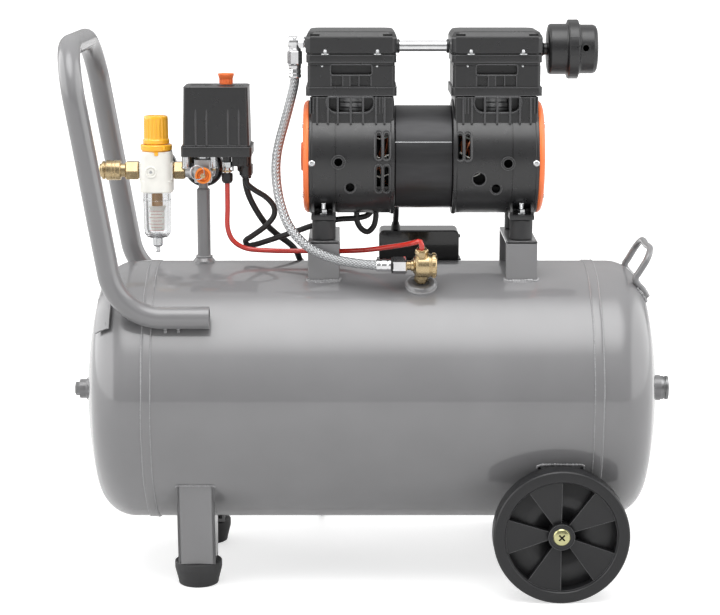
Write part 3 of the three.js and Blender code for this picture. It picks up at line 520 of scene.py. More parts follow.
def object_from(name, shells):
    corners, faces = [], []
    for shell_corners, shell_faces in shells:
        start = len(corners)
        corners += [[c * MM for c in p] for p in shell_corners]
        faces += [[start + i for i in f] for f in shell_faces]
    mesh = bpy.data.meshes.new(name)
    mesh.from_pydata(corners, [], faces)
    work = bmesh.new()
    work.from_mesh(mesh)
    bmesh.ops.recalc_face_normals(work, faces=work.faces)
    work.to_mesh(mesh)
    work.free()
    made = bpy.data.objects.new(name, mesh)
    collection.objects.link(made)
    return made


def carved(name, shells, tools):
    """The shells with the tools cut out of them, as one mesh object."""
    made = object_from(name, shells)
    cutter = object_from(name + "_cutter", tools)
    cut = made.modifiers.new("cut", "BOOLEAN")
    cut.operation, cut.solver, cut.object, cut.use_self = "DIFFERENCE", "EXACT", cutter, True
    bpy.context.view_layer.update()
    mesh = bpy.data.meshes.new_from_object(made.evaluated_get(bpy.context.evaluated_depsgraph_get()))
    made.modifiers.clear()
    made.data = mesh
    bpy.data.objects.remove(cutter)
    return made


def piece(name, shells, look, replaces=(), body=BODY, cut=(), soften=0.0, sharp=32):
    """A finished piece: its shells and look, the CAD nodes it stands for and the body it rides on."""
    made = carved(name, shells, cut) if cut else object_from(name, shells)
    made.data.materials.append(look)
    made.data.shade_smooth()
    made.data.set_sharp_from_angle(angle=math.radians(sharp))
    if soften:
        bevel = made.modifiers.new("soft_edges", "BEVEL")
        bevel.width, bevel.segments, bevel.limit_method = soften * MM, 2, "ANGLE"
        bevel.angle_limit = math.radians(40)
        bevel.harden_normals = True
    else:
        weighted = made.modifiers.new("even_shading", "WEIGHTED_NORMAL")
        weighted.keep_sharp = True
    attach(made, body)
    if replaces:
        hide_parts(*([replaces] if isinstance(replaces, str) else replaces))
    return made


def evened(path, step):
    """The same line with its points a step apart."""
    path = [Vector(p) for p in path]
    points, ahead = [path[0]], step
    for a, b in zip(path, path[1:]):
        length = (b - a).length
        while ahead <= length:
            points.append(a.lerp(b, ahead / length))
            ahead += step
        ahead -= length
    return points


def tube_uv(made, path, sides):
    """U runs once round the tube for each turn, V is the distance along it in metres."""
    lengths = [0.0]
    for a, b in zip(path, path[1:]):
        lengths.append(lengths[-1] + (Vector(b) - Vector(a)).length * MM)
    layer = made.data.uv_layers.new(name="UVMap")
    for face in made.data.polygons:
        around = [made.data.loops[i].vertex_index % sides for i in face.loop_indices]
        wraps = max(around) - min(around) > sides / 2
        for index, k in zip(face.loop_indices, around):
            row = made.data.loops[index].vertex_index // sides
            if row < len(lengths):
                layer.data[index].uv = ((k + sides if wraps and k < sides / 2 else k) / sides, lengths[row])


# ---------------------------------------------------------------- main dimensions, in millimetres
BOTH = (-1, 1)
TANK_R, TANK_Z, SEAM_X = 155.0, 218.0, 265.6
FLANGE, KNUCKLE, CROWN, BAND = 17.7, 44.0, 497.0, 10.0
DOME_LEAN = math.asin((TANK_R - KNUCKLE) / (CROWN - KNUCKLE))
TIP_X = SEAM_X + FLANGE + CROWN - (CROWN - KNUCKLE) * math.cos(DOME_LEAN)
LEG_X, WHEEL_X, WHEEL_R = -206.5, 218.0, 79.0
OUTLET_X, OUTLET_LEAN = 57.5, 27

MOTOR_X, SHAFT_Z, DRUM_R, STATOR_R = 60.5, 500.5, 67.0, 61.0
STATOR_HALF, HOUSING_END, CAP_R, CAP_END = 33.7, 134.3, 66.5, 141.5
HEAD_IN, HEAD_OUT, HEAD_Y, BORE_OFFSET, NUT_OFFSET = 31.5, 138.0, 50.0, 84.75, 30.4
DECK_Z, JOINT_Z, COVER_Z, PORT_Z, HEAD_TOP = 576.3, 612.4, 625.8, 631.5, 651.5
MOUNT_X, MOUNT_Y = {-1: -57.0, 1: 176.0}, 44.0
# The drum's vents and its round holes: (x, height above the shaft, rim radius, hole radius).
SLOT_X = {-1: (7.8, 16.8), 1: (102.5, 111.4)}
SLOT_HEIGHTS = {-1: (19.4, -19.5), 1: (18.3,)}
HOLES = {-1: ((-39.3, 0.5, 8.6, 4.8), (-25.6, -29.8, 7.4, 5.2)),
         1: ((158.3, -1.2, 8.4, 5.1), (124.9, -19.5, 8.8, 7.2), (144.9, -31.3, 7.6, 5.2))}
FIN_OFFSETS = (46, 56, 71, 85.5, 100.5, 112, 124.5)
SLOT_HEIGHT, WINDOW_OFFSET, WINDOW_Z = 29.5, 85.7, 568.5

POST_X, AIR_Z, REG_X = -201.5, 484.0, -257.0
SAFETY_X, SAFETY_Z = POST_X + 2, 481
KNOB_X, SKIRT_X, COVER_X = -173, -183.75, -184.0
HOSE_X, HOSE_Y, HOSE_R, ELBOW_Z = -90.6, -25, 5.4, 637.5
UNLOADER_X, UNLOADER_Y, UNLOADER_R = -172.2, -10.6, 3
CORD_R, CAPACITOR_LEAD_R, MOTOR_LEAD_R = 3.75, 3.5, 3.4
COIL_X, COIL_Y, COIL_OUT, COIL_IN = -14.0, 266.0, 50.5, 35.5


# ---------------------------------------------------------------- mains cord
def on_tank(degrees, x, off=0.0):
    """A point off the tank's barrel, at an angle from the top towards the back."""
    reach, turn = TANK_R + off, math.radians(degrees)
    return (x, reach * math.sin(turn), TANK_Z + reach * math.cos(turn))


def coil_point(turns, radius, z):
    turn = math.pi - 2 * math.pi * turns
    return (COIL_X + radius * math.cos(turn), COIL_Y + radius * math.sin(turn), z)


def mains_cord():
    """The cord from its gland down behind the tank, then two layers of a flat coil on the floor."""
    wrap, low, high, layer, per_turn = CORD_R + 1, 4.05, 11.65, 2.0, 16
    route = [(-151.5, 9, 475), (-151.4, 9.3, 467), (-148.5, 12.5, 454), (-142, 17, 438.5), (-129, 23, 417),
             (-115, 29, 402.5), (-100, 36, 390), (-92, 42, 380)]
    bends = ((18, -88.5), (30, -84), (46, -79), (62, -75), (78, -72), (90, -71))
    route += [on_tank(degrees, x, wrap) for degrees, x in bends]
    route += [(-70, 160.5, 180), (-69, 161.5, 140), (-67, 162, 100), (-65.8, 163.5, 62), (-65, 168, 34),
              (-64.7, 178, 15), (-64.5, 192, 6), (-64.5, 208, low), (-64.5, 222, low), (-64.5, 240, low)]
    for i in range(int(layer * per_turn) + 1):
        t = i / per_turn
        route.append(coil_point(t, COIL_OUT - (COIL_OUT - COIL_IN) * t / layer, low))
    for i in range(1, int((layer + 0.25) * per_turn) + 1):
        t = i / per_turn
        radius = COIL_IN + (COIL_OUT - COIL_IN) * min(1, t / (layer + 0.25))
        route.append(coil_point(layer + t, radius, low + (high - low) * min(1, t / 0.25)))
    route += [(COIL_X + 14, COIL_Y + COIL_OUT + 0.3, 12.2), (COIL_X + 31, COIL_Y + COIL_OUT + 1, 12.5)]
    return smooth_path(route, 4)


def cord_and_plug():
    path = mains_cord()
    cord = piece("mains_cord_sheath", [tube(path, CORD_R, 16)], CABLE, ("mains_cord", "mains_coil"))
    x, y, z = COIL_X + 29, COIL_Y + COIL_OUT + 1, 12.5
    relief = [(0, x), (4.6, x), (4.9, x + 3)]
    for i in range(4):
        start = x + 4 + i * 4.6
        relief += [(4.4, start), (5.1 + 0.4 * i, start + 0.8), (5.3 + 0.4 * i, start + 3), (4.9, start + 3.8)]
    relief += [(7, x + 24), (0, x + 24)]
    grip = fillet([(0, x + 22), (9.5, x + 22), (10.4, x + 34), (9.2, x + 40), (12.2, x + 52), (12.2, x + 56),
                   (0, x + 56)], 2)
    face = box(x + 51, x + 57, y - 14, y + 14, 0.6, 24.4, 2.5, 3)
    plug = piece("mains_plug_body", [lathe("x", relief, y, z, 24), lathe("x", grip, y, z, 32), face], CABLE,
                 "mains_plug")
    pins = [bar("x", 2.4, x + 55, x + 75, y + offset, z, 20, 0.9) for offset in (-9.5, 9.5)]
    prongs = piece("mains_plug_pins", pins, ZINC)


cord_and_plug()


# ---------------------------------------------------------------- tank
def dome(offset=0.0):
    """(radius, x) from the seam to the tip of the right end."""
    knuckle_steps, crown_steps = 24, 20
    points = []
    for i in range(knuckle_steps + 1):
        turn = (math.pi / 2 - DOME_LEAN) * i / knuckle_steps
        radius = TANK_R - KNUCKLE + (KNUCKLE + offset) * math.cos(turn)
        points.append((radius, SEAM_X + FLANGE + (KNUCKLE + offset) * math.sin(turn)))
    for i in range(1, crown_steps + 1):
        turn = DOME_LEAN * (1 - i / crown_steps)
        points.append(((CROWN + offset) * math.sin(turn), TIP_X - CROWN + (CROWN + offset) * math.cos(turn)))
    return points


def girth(x, radius):
    """A closed ring of points round the tank, with the small sideways wander of a weld."""
    steps, wobble = 900, 0.25
    points = []
    for i in range(steps):
        turn = 2 * math.pi * i / steps
        drift = wobble * (math.sin(5 * turn) + 0.6 * math.sin(13 * turn + 1))
        points.append(around(x + drift, radius, turn, TANK_Z))
    return points


def tank():
    half = SEAM_X - BAND
    barrel = [lathe("x", [(TANK_R, -half - 1 + (2 * half + 2) * i / 40) for i in range(41)], 0, TANK_Z, 192)]
    piece("tank_barrel_skin", barrel, GREY, "tank_barrel")
    rim = [(TANK_R - 1, half - 0.6), (TANK_R + 0.1, half - 0.5), (TANK_R + 0.7, half - 0.1),
           (TANK_R + 1, half + 0.8), (TANK_R + 1.1, half + 3), (TANK_R + 1.1, SEAM_X - 3),
           (TANK_R + 0.9, SEAM_X - 0.9), (TANK_R + 0.3, SEAM_X), (TANK_R, SEAM_X + 1.2)]
    straight = [(TANK_R, SEAM_X + 1.2 + (FLANGE - 1.4) * i / 4) for i in range(1, 5)]
    skin = rim + straight + dome()[1:-1] + [(0, TIP_X)]
    for name, sign in (("left", -1), ("right", 1)):
        shell = lathe("x", [(r, sign * x) for r, x in skin], 0, TANK_Z, 192)
        piece(f"tank_end_{name}_skin", [shell], GREY, f"tank_end_{name}")
        beads = []
        for x, radius, size in ((half - 0.3, TANK_R + 0.15, 0.75), (SEAM_X + 0.2, TANK_R + 0.2, 0.85)):
            beads.append(weld_bead(girth(sign * x, radius), size, 2.4, True))
        for i in range(26):
            turn = math.radians(random.gauss(-90, 7))
            spot = (sign * random.uniform(half + 0.5, SEAM_X + 0.5), 156.2 * math.cos(turn),
                    TANK_Z + 155.8 * math.sin(turn))
            size = random.uniform(1.2, 2.6)
            lump = [(0, -size * 0.6), (size * 0.8, -size * 0.4), (size, 0), (size * 0.7, size * 0.45),
                    (0, size * 0.6)]
            beads.append(shifted(lathe("z", lump, 0, 0, 10), spot))
        piece(f"tank_seam_weld_{name}", beads, WELD_HIGHLIGHT)


def tank_fittings():
    post = fillet([(13.6, 371), (13.2, 375), (10.4, 378.6), (8.2, 380), (8, 384), (8, 461), (6.4, 462.5),
                   (5.6, 463), (5.6, 470.5), (0, 470.5)], 0.6)
    piece("riser_post", [lathe("z", post, POST_X, 0, 40)], GREY)
    turns = [i / 9 * math.pi for i in range(19)]
    piece("riser_weld", [weld_bead([(POST_X + 9 * math.cos(a), 9 * math.sin(a), 380.2) for a in turns], 1.1,
                                   2.4)], WELD_HIGHLIGHT)
    cone = fillet([(0, 148), (19.6, 152.6), (18.9, 155.6), (15.6, 160.6), (14.4, 161.2), (10.4, 161.2),
                   (10, 159), (0, 159)], 0.8)
    bung = turned(lathe("z", cone, OUTLET_X, 0, 64), "x", OUTLET_LEAN)
    piece("outlet_bung", [shifted(bung, (0, 0, TANK_Z))], GREY)
    turns = [2 * math.pi * i / 60 for i in range(60)]
    seat = [(OUTLET_X + 17.6 * math.cos(a), 17.6 * math.sin(a), 156.2) for a in turns]
    bead = turned(weld_bead(seat, 1.4, 2.6, True), "x", OUTLET_LEAN)
    piece("outlet_weld", [shifted(bead, (0, 0, TANK_Z))], WELD_HIGHLIGHT)
    low = TANK_Z - TANK_R
    piece("drain_bung", [bar("z", 12, low - 7, low + 3, LEG_X, 0, 40, 0.8)], GREY)
    left = [bar("x", 15, -TIP_X - 4, -TIP_X + 3, 0, TANK_Z - 1, 48, 1.2),
            bar("x", 11.8, -354.5, -TIP_X, 0, TANK_Z - 1, 48, 0.8)]
    collar = torus("x", 12.1, 0.9, -TIP_X - 4.4, 0, TANK_Z - 1)
    piece("tank_bung_left", left + [collar], GREY)
    plug_left = [hexagon("x", 17, -360.2, -354, 0, TANK_Z - 1, 30)]
    piece("tank_bung_left_plug", plug_left, STEEL, cut=[bar("x", 4.4, -361, -356.5, 0, TANK_Z - 1, 6)])
    right = [ring("x", 15.6, 8.5, TIP_X - 4, 351, 0, TANK_Z, 48, 0.8)]
    piece("tank_bung_right", right, GREY)
    edge = [around(TIP_X - 0.4, 15.8, i * math.pi / 40, TANK_Z) for i in range(80)]
    rim_bead = weld_bead(edge, 1.2, 2.6, True)
    piece("tank_bung_right_weld", [rim_bead], WELD_HIGHLIGHT)
    plug = fillet([(0, 346), (11, 346), (11, 347.4), (14.4, 347.4), (14.4, 354.6), (13.5, 355.2),
                   (13.5, 356.4), (14.4, 357), (14.4, 360.3), (0, 360.3)], 0.5)
    piece("end_plug", [lathe("x", plug, 0, TANK_Z, 48)], STEEL, "end_plug_right",
          cut=[bar("x", 5, 355.4, 361.4, 0, TANK_Z, 6, 0.0)])


def rating_plate():
    """A blank curved card on two lugs, off the left end's shoulder."""
    centre, half_turn, rows = 41, 10.4, 16
    profile = [p for p in dome(3.5) if 303.4 < p[1] < 320.6 and p[0] > 100]
    outer = [p for p in dome(5.3) if 303.4 < p[1] < 321.4 and p[0] > 100][:len(profile)]
    outline = profile + outer[::-1]
    corners, faces = [], []
    for i in range(rows + 1):
        turn = math.radians(centre - half_turn + 2 * half_turn * i / rows)
        corners += [(-x, -r * math.sin(turn), TANK_Z + r * math.cos(turn)) for r, x in outline]
    count = len(outline)
    for i in range(rows):
        for k in range(count):
            n = (k + 1) % count
            faces.append([i * count + k, i * count + n, (i + 1) * count + n, (i + 1) * count + k])
    faces += [list(range(count)), [rows * count + k for k in range(count)][::-1]]
    lugs = [turned(box(-309, -303.5, y - 3, y + 3, 145, 152.4, 0.8), "x", centre) for y in (-20, 20)]
    piece("rating_plate_holder", [(corners, faces)] + [shifted(l, (0, 0, TANK_Z)) for l in lugs], GREY,
          sharp=40)


tank()
tank_fittings()
rating_plate()


# ---------------------------------------------------------------- handles
def push_handle():
    half, low, corner_x, top, lean = 125.3, 327.8, -293.8, 636.0, 0.174
    open_x, top_x = -187.5, corner_x - (top - low) * lean
    side = [(open_x, -half, low), (corner_x, -half, low), (top_x, -half, top)]
    corners = side + [(x, -y, z) for x, y, z in side[::-1]]
    path = arcs(corners, [62] * 4, 18)
    dense = []
    for a, b in zip(path, path[1:]):
        count = max(1, int((b - a).length / 12))
        dense += [a.lerp(b, i / count) for i in range(count)]
    dense.append(path[-1])
    bores = [bar("x", 10.9, open_x - 46, open_x + 2, y, low, 40, 0.0) for y in (-half, half)]
    piece("push_handle", [tube(dense, 13, 48)], GREY, "handle_tube", cut=bores, soften=0.5)
    # A near-black disc at the bottom of each bore: painted shade in the open ends of the tube.
    floor = [bar("x", 11.2, open_x - 52, open_x - 44, y, low, 32, 0.0) for y in (-half, half)]
    piece("push_handle_bore_painted_shade", floor, SHADE_AND_INK)
    spots = []
    for side_y in BOTH:
        for x in (-239, -224):
            spots.append(weld_bead([(x - 2.5, side_y * 121, 316.5), (x, side_y * 122.6, 315.2),
                                    (x + 0.6, side_y * 124.6, 309.5)], 1.9, 3))
        spots.append(weld_bead([(-283, side_y * 112.5, 325), (-240, side_y * 111.5, 325.6),
                                (-192, side_y * 111.5, 325.6)], 2.4, 3))
    piece("push_handle_welds", spots, WELD_HIGHLIGHT)


def lifting_handle():
    half, rod, crest_x, crest_z = 52, 4, 329.5, 393
    reach = KNUCKLE + 3

    def on_dome(turn, y):
        r = TANK_R - KNUCKLE + reach * math.cos(turn)
        return (SEAM_X + FLANGE + reach * math.sin(turn), y, TANK_Z + math.sqrt(r * r - y * y))

    def side(y):
        return [on_dome(1.12, y), on_dome(0.9, y), on_dome(0.7, y), (311.5, y, 361.5), (316, y, 369.5),
                (324, y, 383)]

    crest = [(crest_x, -half + 12, crest_z), (crest_x + 0.5, 0, crest_z + 1), (crest_x, half - 12, crest_z)]
    path = smooth_path(side(-half) + crest + side(half)[::-1], 2.5)
    piece("carrying_handle", [tube(path, rod, 24)], GREY, "lifting_handle")
    beads = []
    for y in (-half, half):
        for off in (-4.4, 4.4):
            line = [Vector(on_dome(t, y + off)) - Vector((1.6, 0, 2.4)) for t in (0.72, 0.85, 1.0, 1.12)]
            beads.append(weld_bead(line, 1.7, 2.6))
        beads.append(weld_bead([Vector(on_dome(1.13, y + off)) - Vector((1.2, 0, 2.2)) for off in (-4, 0, 4)],
                               1.7, 2.6))
    piece("carrying_handle_welds", beads, WELD_HIGHLIGHT)


push_handle()
lifting_handle()


# ---------------------------------------------------------------- legs and wheels
def leg(place, side):
    x, half, plate, pad = LEG_X, 22.0, 4.0, 29.3
    flip = [(side * -y, z) for y, z in ((-113, pad), (-125.7, 108.7), (-126.5, 131))]
    inner = [(y - side * plate, z) for y, z in flip]
    front = prism("x", flip + inner[::-1], x - half, x + half, 0.7)
    cheek = flip + [(side * 100, 122), (side * 66, 84), (side * 68, pad)]
    cheeks = [prism("x", cheek, *sorted((x + s * half, x + s * half - s * plate)), 0.7) for s in BOTH]
    sole = box(x - half, x + half, *between(side, 113, 68), pad, pad + plate, 0.6)
    piece(f"leg_{place}_channel", [front, *cheeks, sole], GREY, f"leg_{place}")
    top_z = TANK_Z - math.sqrt(TANK_R ** 2 - 126 ** 2)
    bead = [(x - half - 1, side * 118, top_z - 6), (x - half - 0.5, side * 125.5, top_z),
            (x - half + 1, side * 127, top_z + 1), (x, side * 127, top_z + 1.2),
            (x + half - 1, side * 127, top_z + 1), (x + half + 0.5, side * 125.5, top_z),
            (x + half + 1, side * 118, top_z - 6)]
    piece(f"leg_{place}_weld", [weld_bead(bead, 1.25, 3.2)], WELD_HIGHLIGHT)
    profile = fillet([(0, 0), (21.5, 0), (23.5, 1.2), (24.3, 6), (27.4, 18), (28, 21), (28, 28), (26.5, 29.2),
                      (0, 29.2)], 1.2)
    piece(f"foot_pad_{place}_rubber", [lathe("z", profile, x, side * 89.7, 56)], RUBBER, f"foot_pad_{place}")


def wheel_bracket(place, side):
    x, face_y, plate, half = WHEEL_X, 141.5, 5.0, 27.0
    outer = [(side * face_y, 157), (side * face_y, 50), (side * (face_y - plate), 50),
             (side * (face_y - plate), 157)]
    face = prism("x", outer, x - half, x + half, 0.8)
    cheek = [(side * face_y, 157), (side * face_y, 50), (side * 112, 50), (side * 60, 80), (side * 96, 134)]
    cheeks = [prism("x", cheek, *sorted((x + s * half, x + s * half - s * plate)), 0.8) for s in BOTH]
    piece(f"wheel_bracket_{place}_channel", [face, *cheeks], GREY, f"wheel_bracket_{place}")
    bead = [(x - half - 1, side * 137, 150), (x - half + 1, side * 142, 156.6), (x - 12, side * 142.3, 158.4),
            (x + 12, side * 142.3, 158), (x + half - 1, side * 142, 157.4), (x + half + 1, side * 138, 150.5)]
    piece(f"wheel_bracket_{place}_weld", [weld_bead(bead, 1.5, 3.4)], WELD_HIGHLIGHT)
    low, high = between(side, 134, 171)
    bolt = [bar("y", 7, low, high, x, WHEEL_R, 32, 0.5),
            hexagon("y", 22, *between(side, 126, 136), x, WHEEL_R)]
    piece(f"axle_{place}", bolt, ZINC)
    dish = [(0, 173.6), (6, 173.4), (9, 172.6), (10.2, 171.2), (10.2, 170.3), (0, 170.3)]
    cap = turning("y", [(r, side * y) for r, y in dish], 0.5, x, WHEEL_R, 48)
    piece(f"axle_cap_{place}", [cap], YELLOW_ZINC, cut=cross(x, side, 4.6, 1, 171.4, 175))
    # Near-black crosses at the bottom of the screwdriver recess: painted shade in the recess.
    piece(f"axle_cap_{place}_recess", cross(x, side, 4.4, 0.95, 171.2, 172.4), SHADE_AND_INK)


def cross(x, side, reach, half, near, far):
    """The two crossed bars of a screwdriver recess on an axle's end."""
    bar_box = box(x - reach, x + reach, *between(side, near, far), WHEEL_R - half, WHEEL_R + half)
    return [turned(bar_box, "y", degrees, (x, 0, WHEEL_R)) for degrees in (45, 135)]


def wheel_sector(start, end, radii, front, back):
    """A slab of the wheel's disc between two angles. front and back give its faces' places at a radius."""
    count, steps = len(radii), 8
    corners = []
    for face in (front, back):
        for i in range(steps + 1):
            turn = math.radians(start + (end - start) * i / steps)
            corners += [(r * math.cos(turn), face(r), r * math.sin(turn)) for r in radii]
    layer, faces = count * (steps + 1), []
    for i in range(steps):
        for k in range(count - 1):
            a = i * count + k
            faces.append([a, a + 1, a + count + 1, a + count])
            faces.append([layer + a, layer + a + count, layer + a + count + 1, layer + a + 1])
        for k in (0, count - 1):
            a = i * count + k
            faces.append([a, a + count, layer + a + count, layer + a])
    for i in (0, steps):
        for k in range(count - 1):
            a = i * count + k
            faces.append([a, a + 1, layer + a + 1, layer + a])
    return corners, faces


def wheel(place, side):
    x, radius, inner, outer, rim = WHEEL_X, WHEEL_R, 143.8, 174.0, 64.4
    tread = [(rim + 0.4, inner + 4), (rim + 1, inner + 1), (rim + 2, inner), (74, inner), (78, inner + 1.6),
             (79, inner + 5), (78.7, inner + 11), (79, 159), (78.7, outer - 11), (79, outer - 4.4),
             (78.5, outer - 1.8), (76.9, outer - 0.5), (70, outer), (66.2, outer - 0.3), (65, outer - 1.6),
             (rim, outer - 5), (rim - 0.2, 156), (rim - 0.2, 150)]
    tyre = turning("y", [(r, side * y) for r, y in tread], 0.7, x, radius, 144, True)
    hub = lathe("y", fillet([(7.4, side * inner), (15, side * inner), (15, side * 170.4),
                             (13.8, side * 171.4), (7.4, side * 171.4)], 0.8, 2, True), x, radius, 56, True)

    def raised(r):
        return side * (164.4 + (r - 14) * 0.09)

    def sunk(r):
        return side * (149.2 + (r - 14) * 0.42 if r <= 38 else 159.3 - (r - 38) * 0.15)

    slabs, near, far = [], (14, 30, 47, rim + 0.4), (14, 20, 26, 32, 38, 47, 56, rim + 0.4)
    # Thin rings round the rim and the hub and lines along each slab's edge, in a lighter black: painted
    # highlights on the wheel's edges.
    edges = [torus("y", rim + 0.3, 0.5, side * (outer - 4.4), x, radius, 120, 8),
             torus("y", 15, 0.45, side * 170.9, x, radius, 56, 8)]
    for k in range(5):
        start = 90 + 72 * k
        slabs.append(wheel_sector(start, start + 36, near, raised, lambda r: side * 148.6))
        slabs.append(wheel_sector(start + 36, start + 72, far, sunk, lambda r: side * 147.5))
        for degrees in (start, start + 36):
            turn = math.radians(degrees)
            line = [(x + r * math.cos(turn), raised(r), radius + r * math.sin(turn))
                    for r in (15.5, 30, 47, rim - 0.4)]
            edges.append(tube(line, 0.42, 8))
    piece(f"wheel_{place}_tyre", [tyre], SATIN, f"wheel_{place}", f"wheel_{place}", sharp=40)
    disc = [shifted(slab, (x, 0, radius)) for slab in slabs]
    piece(f"wheel_{place}_disc", [*disc, hub], SATIN, body=f"wheel_{place}", soften=0.5)
    piece(f"wheel_{place}_edges", edges, EDGE_HIGHLIGHT, body=f"wheel_{place}")


for place, side in (("front", -1), ("rear", 1)):
    leg(place, side)
    wheel_bracket(place, side)
    wheel(place, side)


# ---------------------------------------------------------------- motor and pump
def from_motor(side, a, b):
    """Two places along X, both counted from the motor's middle towards one side, the lower one first."""
    return sorted((MOTOR_X + side * a, MOTOR_X + side * b))


def capsule(width, height, steps=10):
    """A slot outline centred on the origin, its long side upright."""
    r, straight = width / 2, (height - width) / 2
    points = []
    for sign in (1, -1):
        for k in range(steps + 1):
            turn = math.pi * k / steps + (0 if sign > 0 else math.pi)
            points.append((r * math.cos(turn), sign * straight + r * math.sin(turn)))
    return points


def on_drum(x, z, off, side):
    """A point off the drum's front or back, at that height above the shaft."""
    turn, reach = math.asin(z / DRUM_R), DRUM_R + off
    return Vector((x, side * reach * math.cos(turn), SHAFT_Z + reach * math.sin(turn)))


def raised_slot_edges(x, z, height, side):
    """The rounded rim that stands up round a slot in the drum."""
    outline = [(x + a, z + b) for a, b in capsule(9.4, height + 4.6, 8)]
    path = []
    for (xa, za), (xb, zb) in zip(outline, outline[1:] + outline[:1]):
        count = max(1, int(math.dist((xa, za), (xb, zb)) / 2))
        path += [on_drum(xa + (xb - xa) * i / count, za + (zb - za) * i / count, 0.15, side)
                 for i in range(count)]
    return tube(path, 1.15, 10, True)


def windings(x0, x1):
    """Loose end turns of copper wire inside a housing, laced with white cord."""
    strands, lacing = [], []
    for i in range(34):
        start = random.uniform(0, 2 * math.pi)
        radius, x = random.uniform(47, 56), random.uniform(x0 + 3, x1 - 3)
        path = []
        for k in range(9):
            turn = start + k * 0.16
            wander = 5 * math.sin(k * 0.8 + i)
            path.append(around(x + wander, radius, turn, SHAFT_Z))
        strands.append(tube(smooth_path(path, 6), random.uniform(1.0, 1.7), 8))
    for i in range(16):
        turn = 2 * math.pi * i / 16 + 0.2
        path = [around(x0 + 2, 57, turn, SHAFT_Z), around((x0 + x1) / 2, 58.4, turn + 0.12, SHAFT_Z),
                around(x1 - 2, 57, turn + 0.05, SHAFT_Z)]
        lacing.append(tube(smooth_path(path, 6), 0.9, 6))
    return strands, lacing


def housing_span(side):
    """The housing's ends along X: the lower, the higher, the one at the stator and the one at the cap."""
    low, high = from_motor(side, STATOR_HALF + 0.3, HOUSING_END)
    return (low, high, high, low) if side < 0 else (low, high, low, high)


def housing_drum(name, side):
    start = housing_span(side)[2]
    length, groove = HOUSING_END - STATOR_HALF - 0.3, abs(MOTOR_X + side * 103.2 - start)
    profile = [(60, 0), (67.2, 0), (68.3, 0.8), (68.3, 4), (67.3, 5), (DRUM_R, 7), (DRUM_R, groove - 0.7),
               (66.2, groove - 0.5), (66.2, groove + 0.5), (DRUM_R, groove + 0.7), (DRUM_R, length - 4),
               (67.6, length - 3.4), (67.6, length - 0.8), (66.8, length), (60, length)]
    drum = lathe("x", [(r, start + side * t) for r, t in profile], 0, SHAFT_Z, 128, True)
    tools = []
    for face in BOTH:
        for z in SLOT_HEIGHTS[side]:
            for x in SLOT_X[side]:
                slot = [(x + a, SHAFT_Z + z + b) for a, b in capsule(5.0, SLOT_HEIGHT)]
                tools.append(prism("y", slot, *between(face, 52, 74)))
        for x, z, _, hole in HOLES[side]:
            tools.append(bar("y", hole, *between(face, 50, 75), x, SHAFT_Z + z, 32, 0))
    piece(f"end_housing_{name}_drum", [drum], BLACK, f"end_housing_{name}", cut=tools)


def housing_shroud(name, side):
    """The square part over the drum that the cylinder stands in, with a window in front and behind."""
    low, high, _, _ = housing_span(side)
    shroud = box(low + 2, high - 1, -HEAD_Y, HEAD_Y, 536, DECK_Z - 0.3, 3.0, 3)
    tools = []
    for face in BOTH:
        window = [(MOTOR_X + side * WINDOW_OFFSET + b, WINDOW_Z + a) for a, b in capsule(21, 53)]
        tools.append(prism("y", window, *between(face, 34, 60)))
    tools.append(bar("z", 37, 530, 590, MOTOR_X + side * BORE_OFFSET, 0, 48, 0))
    tools.append(lathe("x", [(0, low - 5), (60.5, low - 5), (60.5, high + 5), (0, high + 5)], 0, SHAFT_Z, 64))
    piece(f"end_housing_{name}_shroud", [shroud], BLACK, cut=tools)


def housing_ribs(name, side):
    """The fins in the windows, and every raised rim: round the windows, the slots and the holes."""
    ribs, bosses = [], []
    deep = math.sqrt(DRUM_R ** 2 - 44 ** 2)
    for face in BOTH:
        for offset in FIN_OFFSETS:
            x = MOTOR_X + side * offset
            fin = [(44, 575.6), (52.2, 575.6), (53.4, 560), (deep + 2.6, 545), (deep - 1, 540), (44, 545)]
            ribs.append(prism("x", [(face * y, z) for y, z in fin], x - 1.25, x + 1.25, 0.8, 3))
        for offset in (FIN_OFFSETS[0] + 3.9, FIN_OFFSETS[-1] + 6.2):
            x = MOTOR_X + side * offset
            for w in (-1.7, 1.7):
                ribs.append(box(x + w - 0.7, x + w + 0.7, *between(face, 47, 51.6), 556, 575.4, 0.3))
    for face in BOTH:
        lip = [(MOTOR_X + side * WINDOW_OFFSET + b, WINDOW_Z + a) for a, b in capsule(24, 56)]
        ribs.append(tube([(x, face * (HEAD_Y + 0.1), min(z, 575.2)) for x, z in lip], 1.3, 10, True))
    for face in BOTH:
        ribs += [raised_slot_edges(x, z, SLOT_HEIGHT, face) for z in SLOT_HEIGHTS[side] for x in SLOT_X[side]]
        for x, z, rim, hole in HOLES[side]:
            y = on_drum(x, z, 0, face).y
            bosses.append(ring("y", rim, hole, *sorted((y + face * 1.5, y - face * 9)), x, SHAFT_Z + z, 40,
                               0.7))
            ribs += [torus("y", r, 0.5, y + face * 1.5, x, SHAFT_Z + z, 40, 8)
                     for r in (rim - 0.5, hole + 0.5)]
    piece(f"end_housing_{name}_bosses", bosses, BLACK)
    # The fins and every raised rim are a lighter black than the housing: painted highlights on their edges.
    piece(f"end_housing_{name}_ribs", ribs, EDGE_HIGHLIGHT)


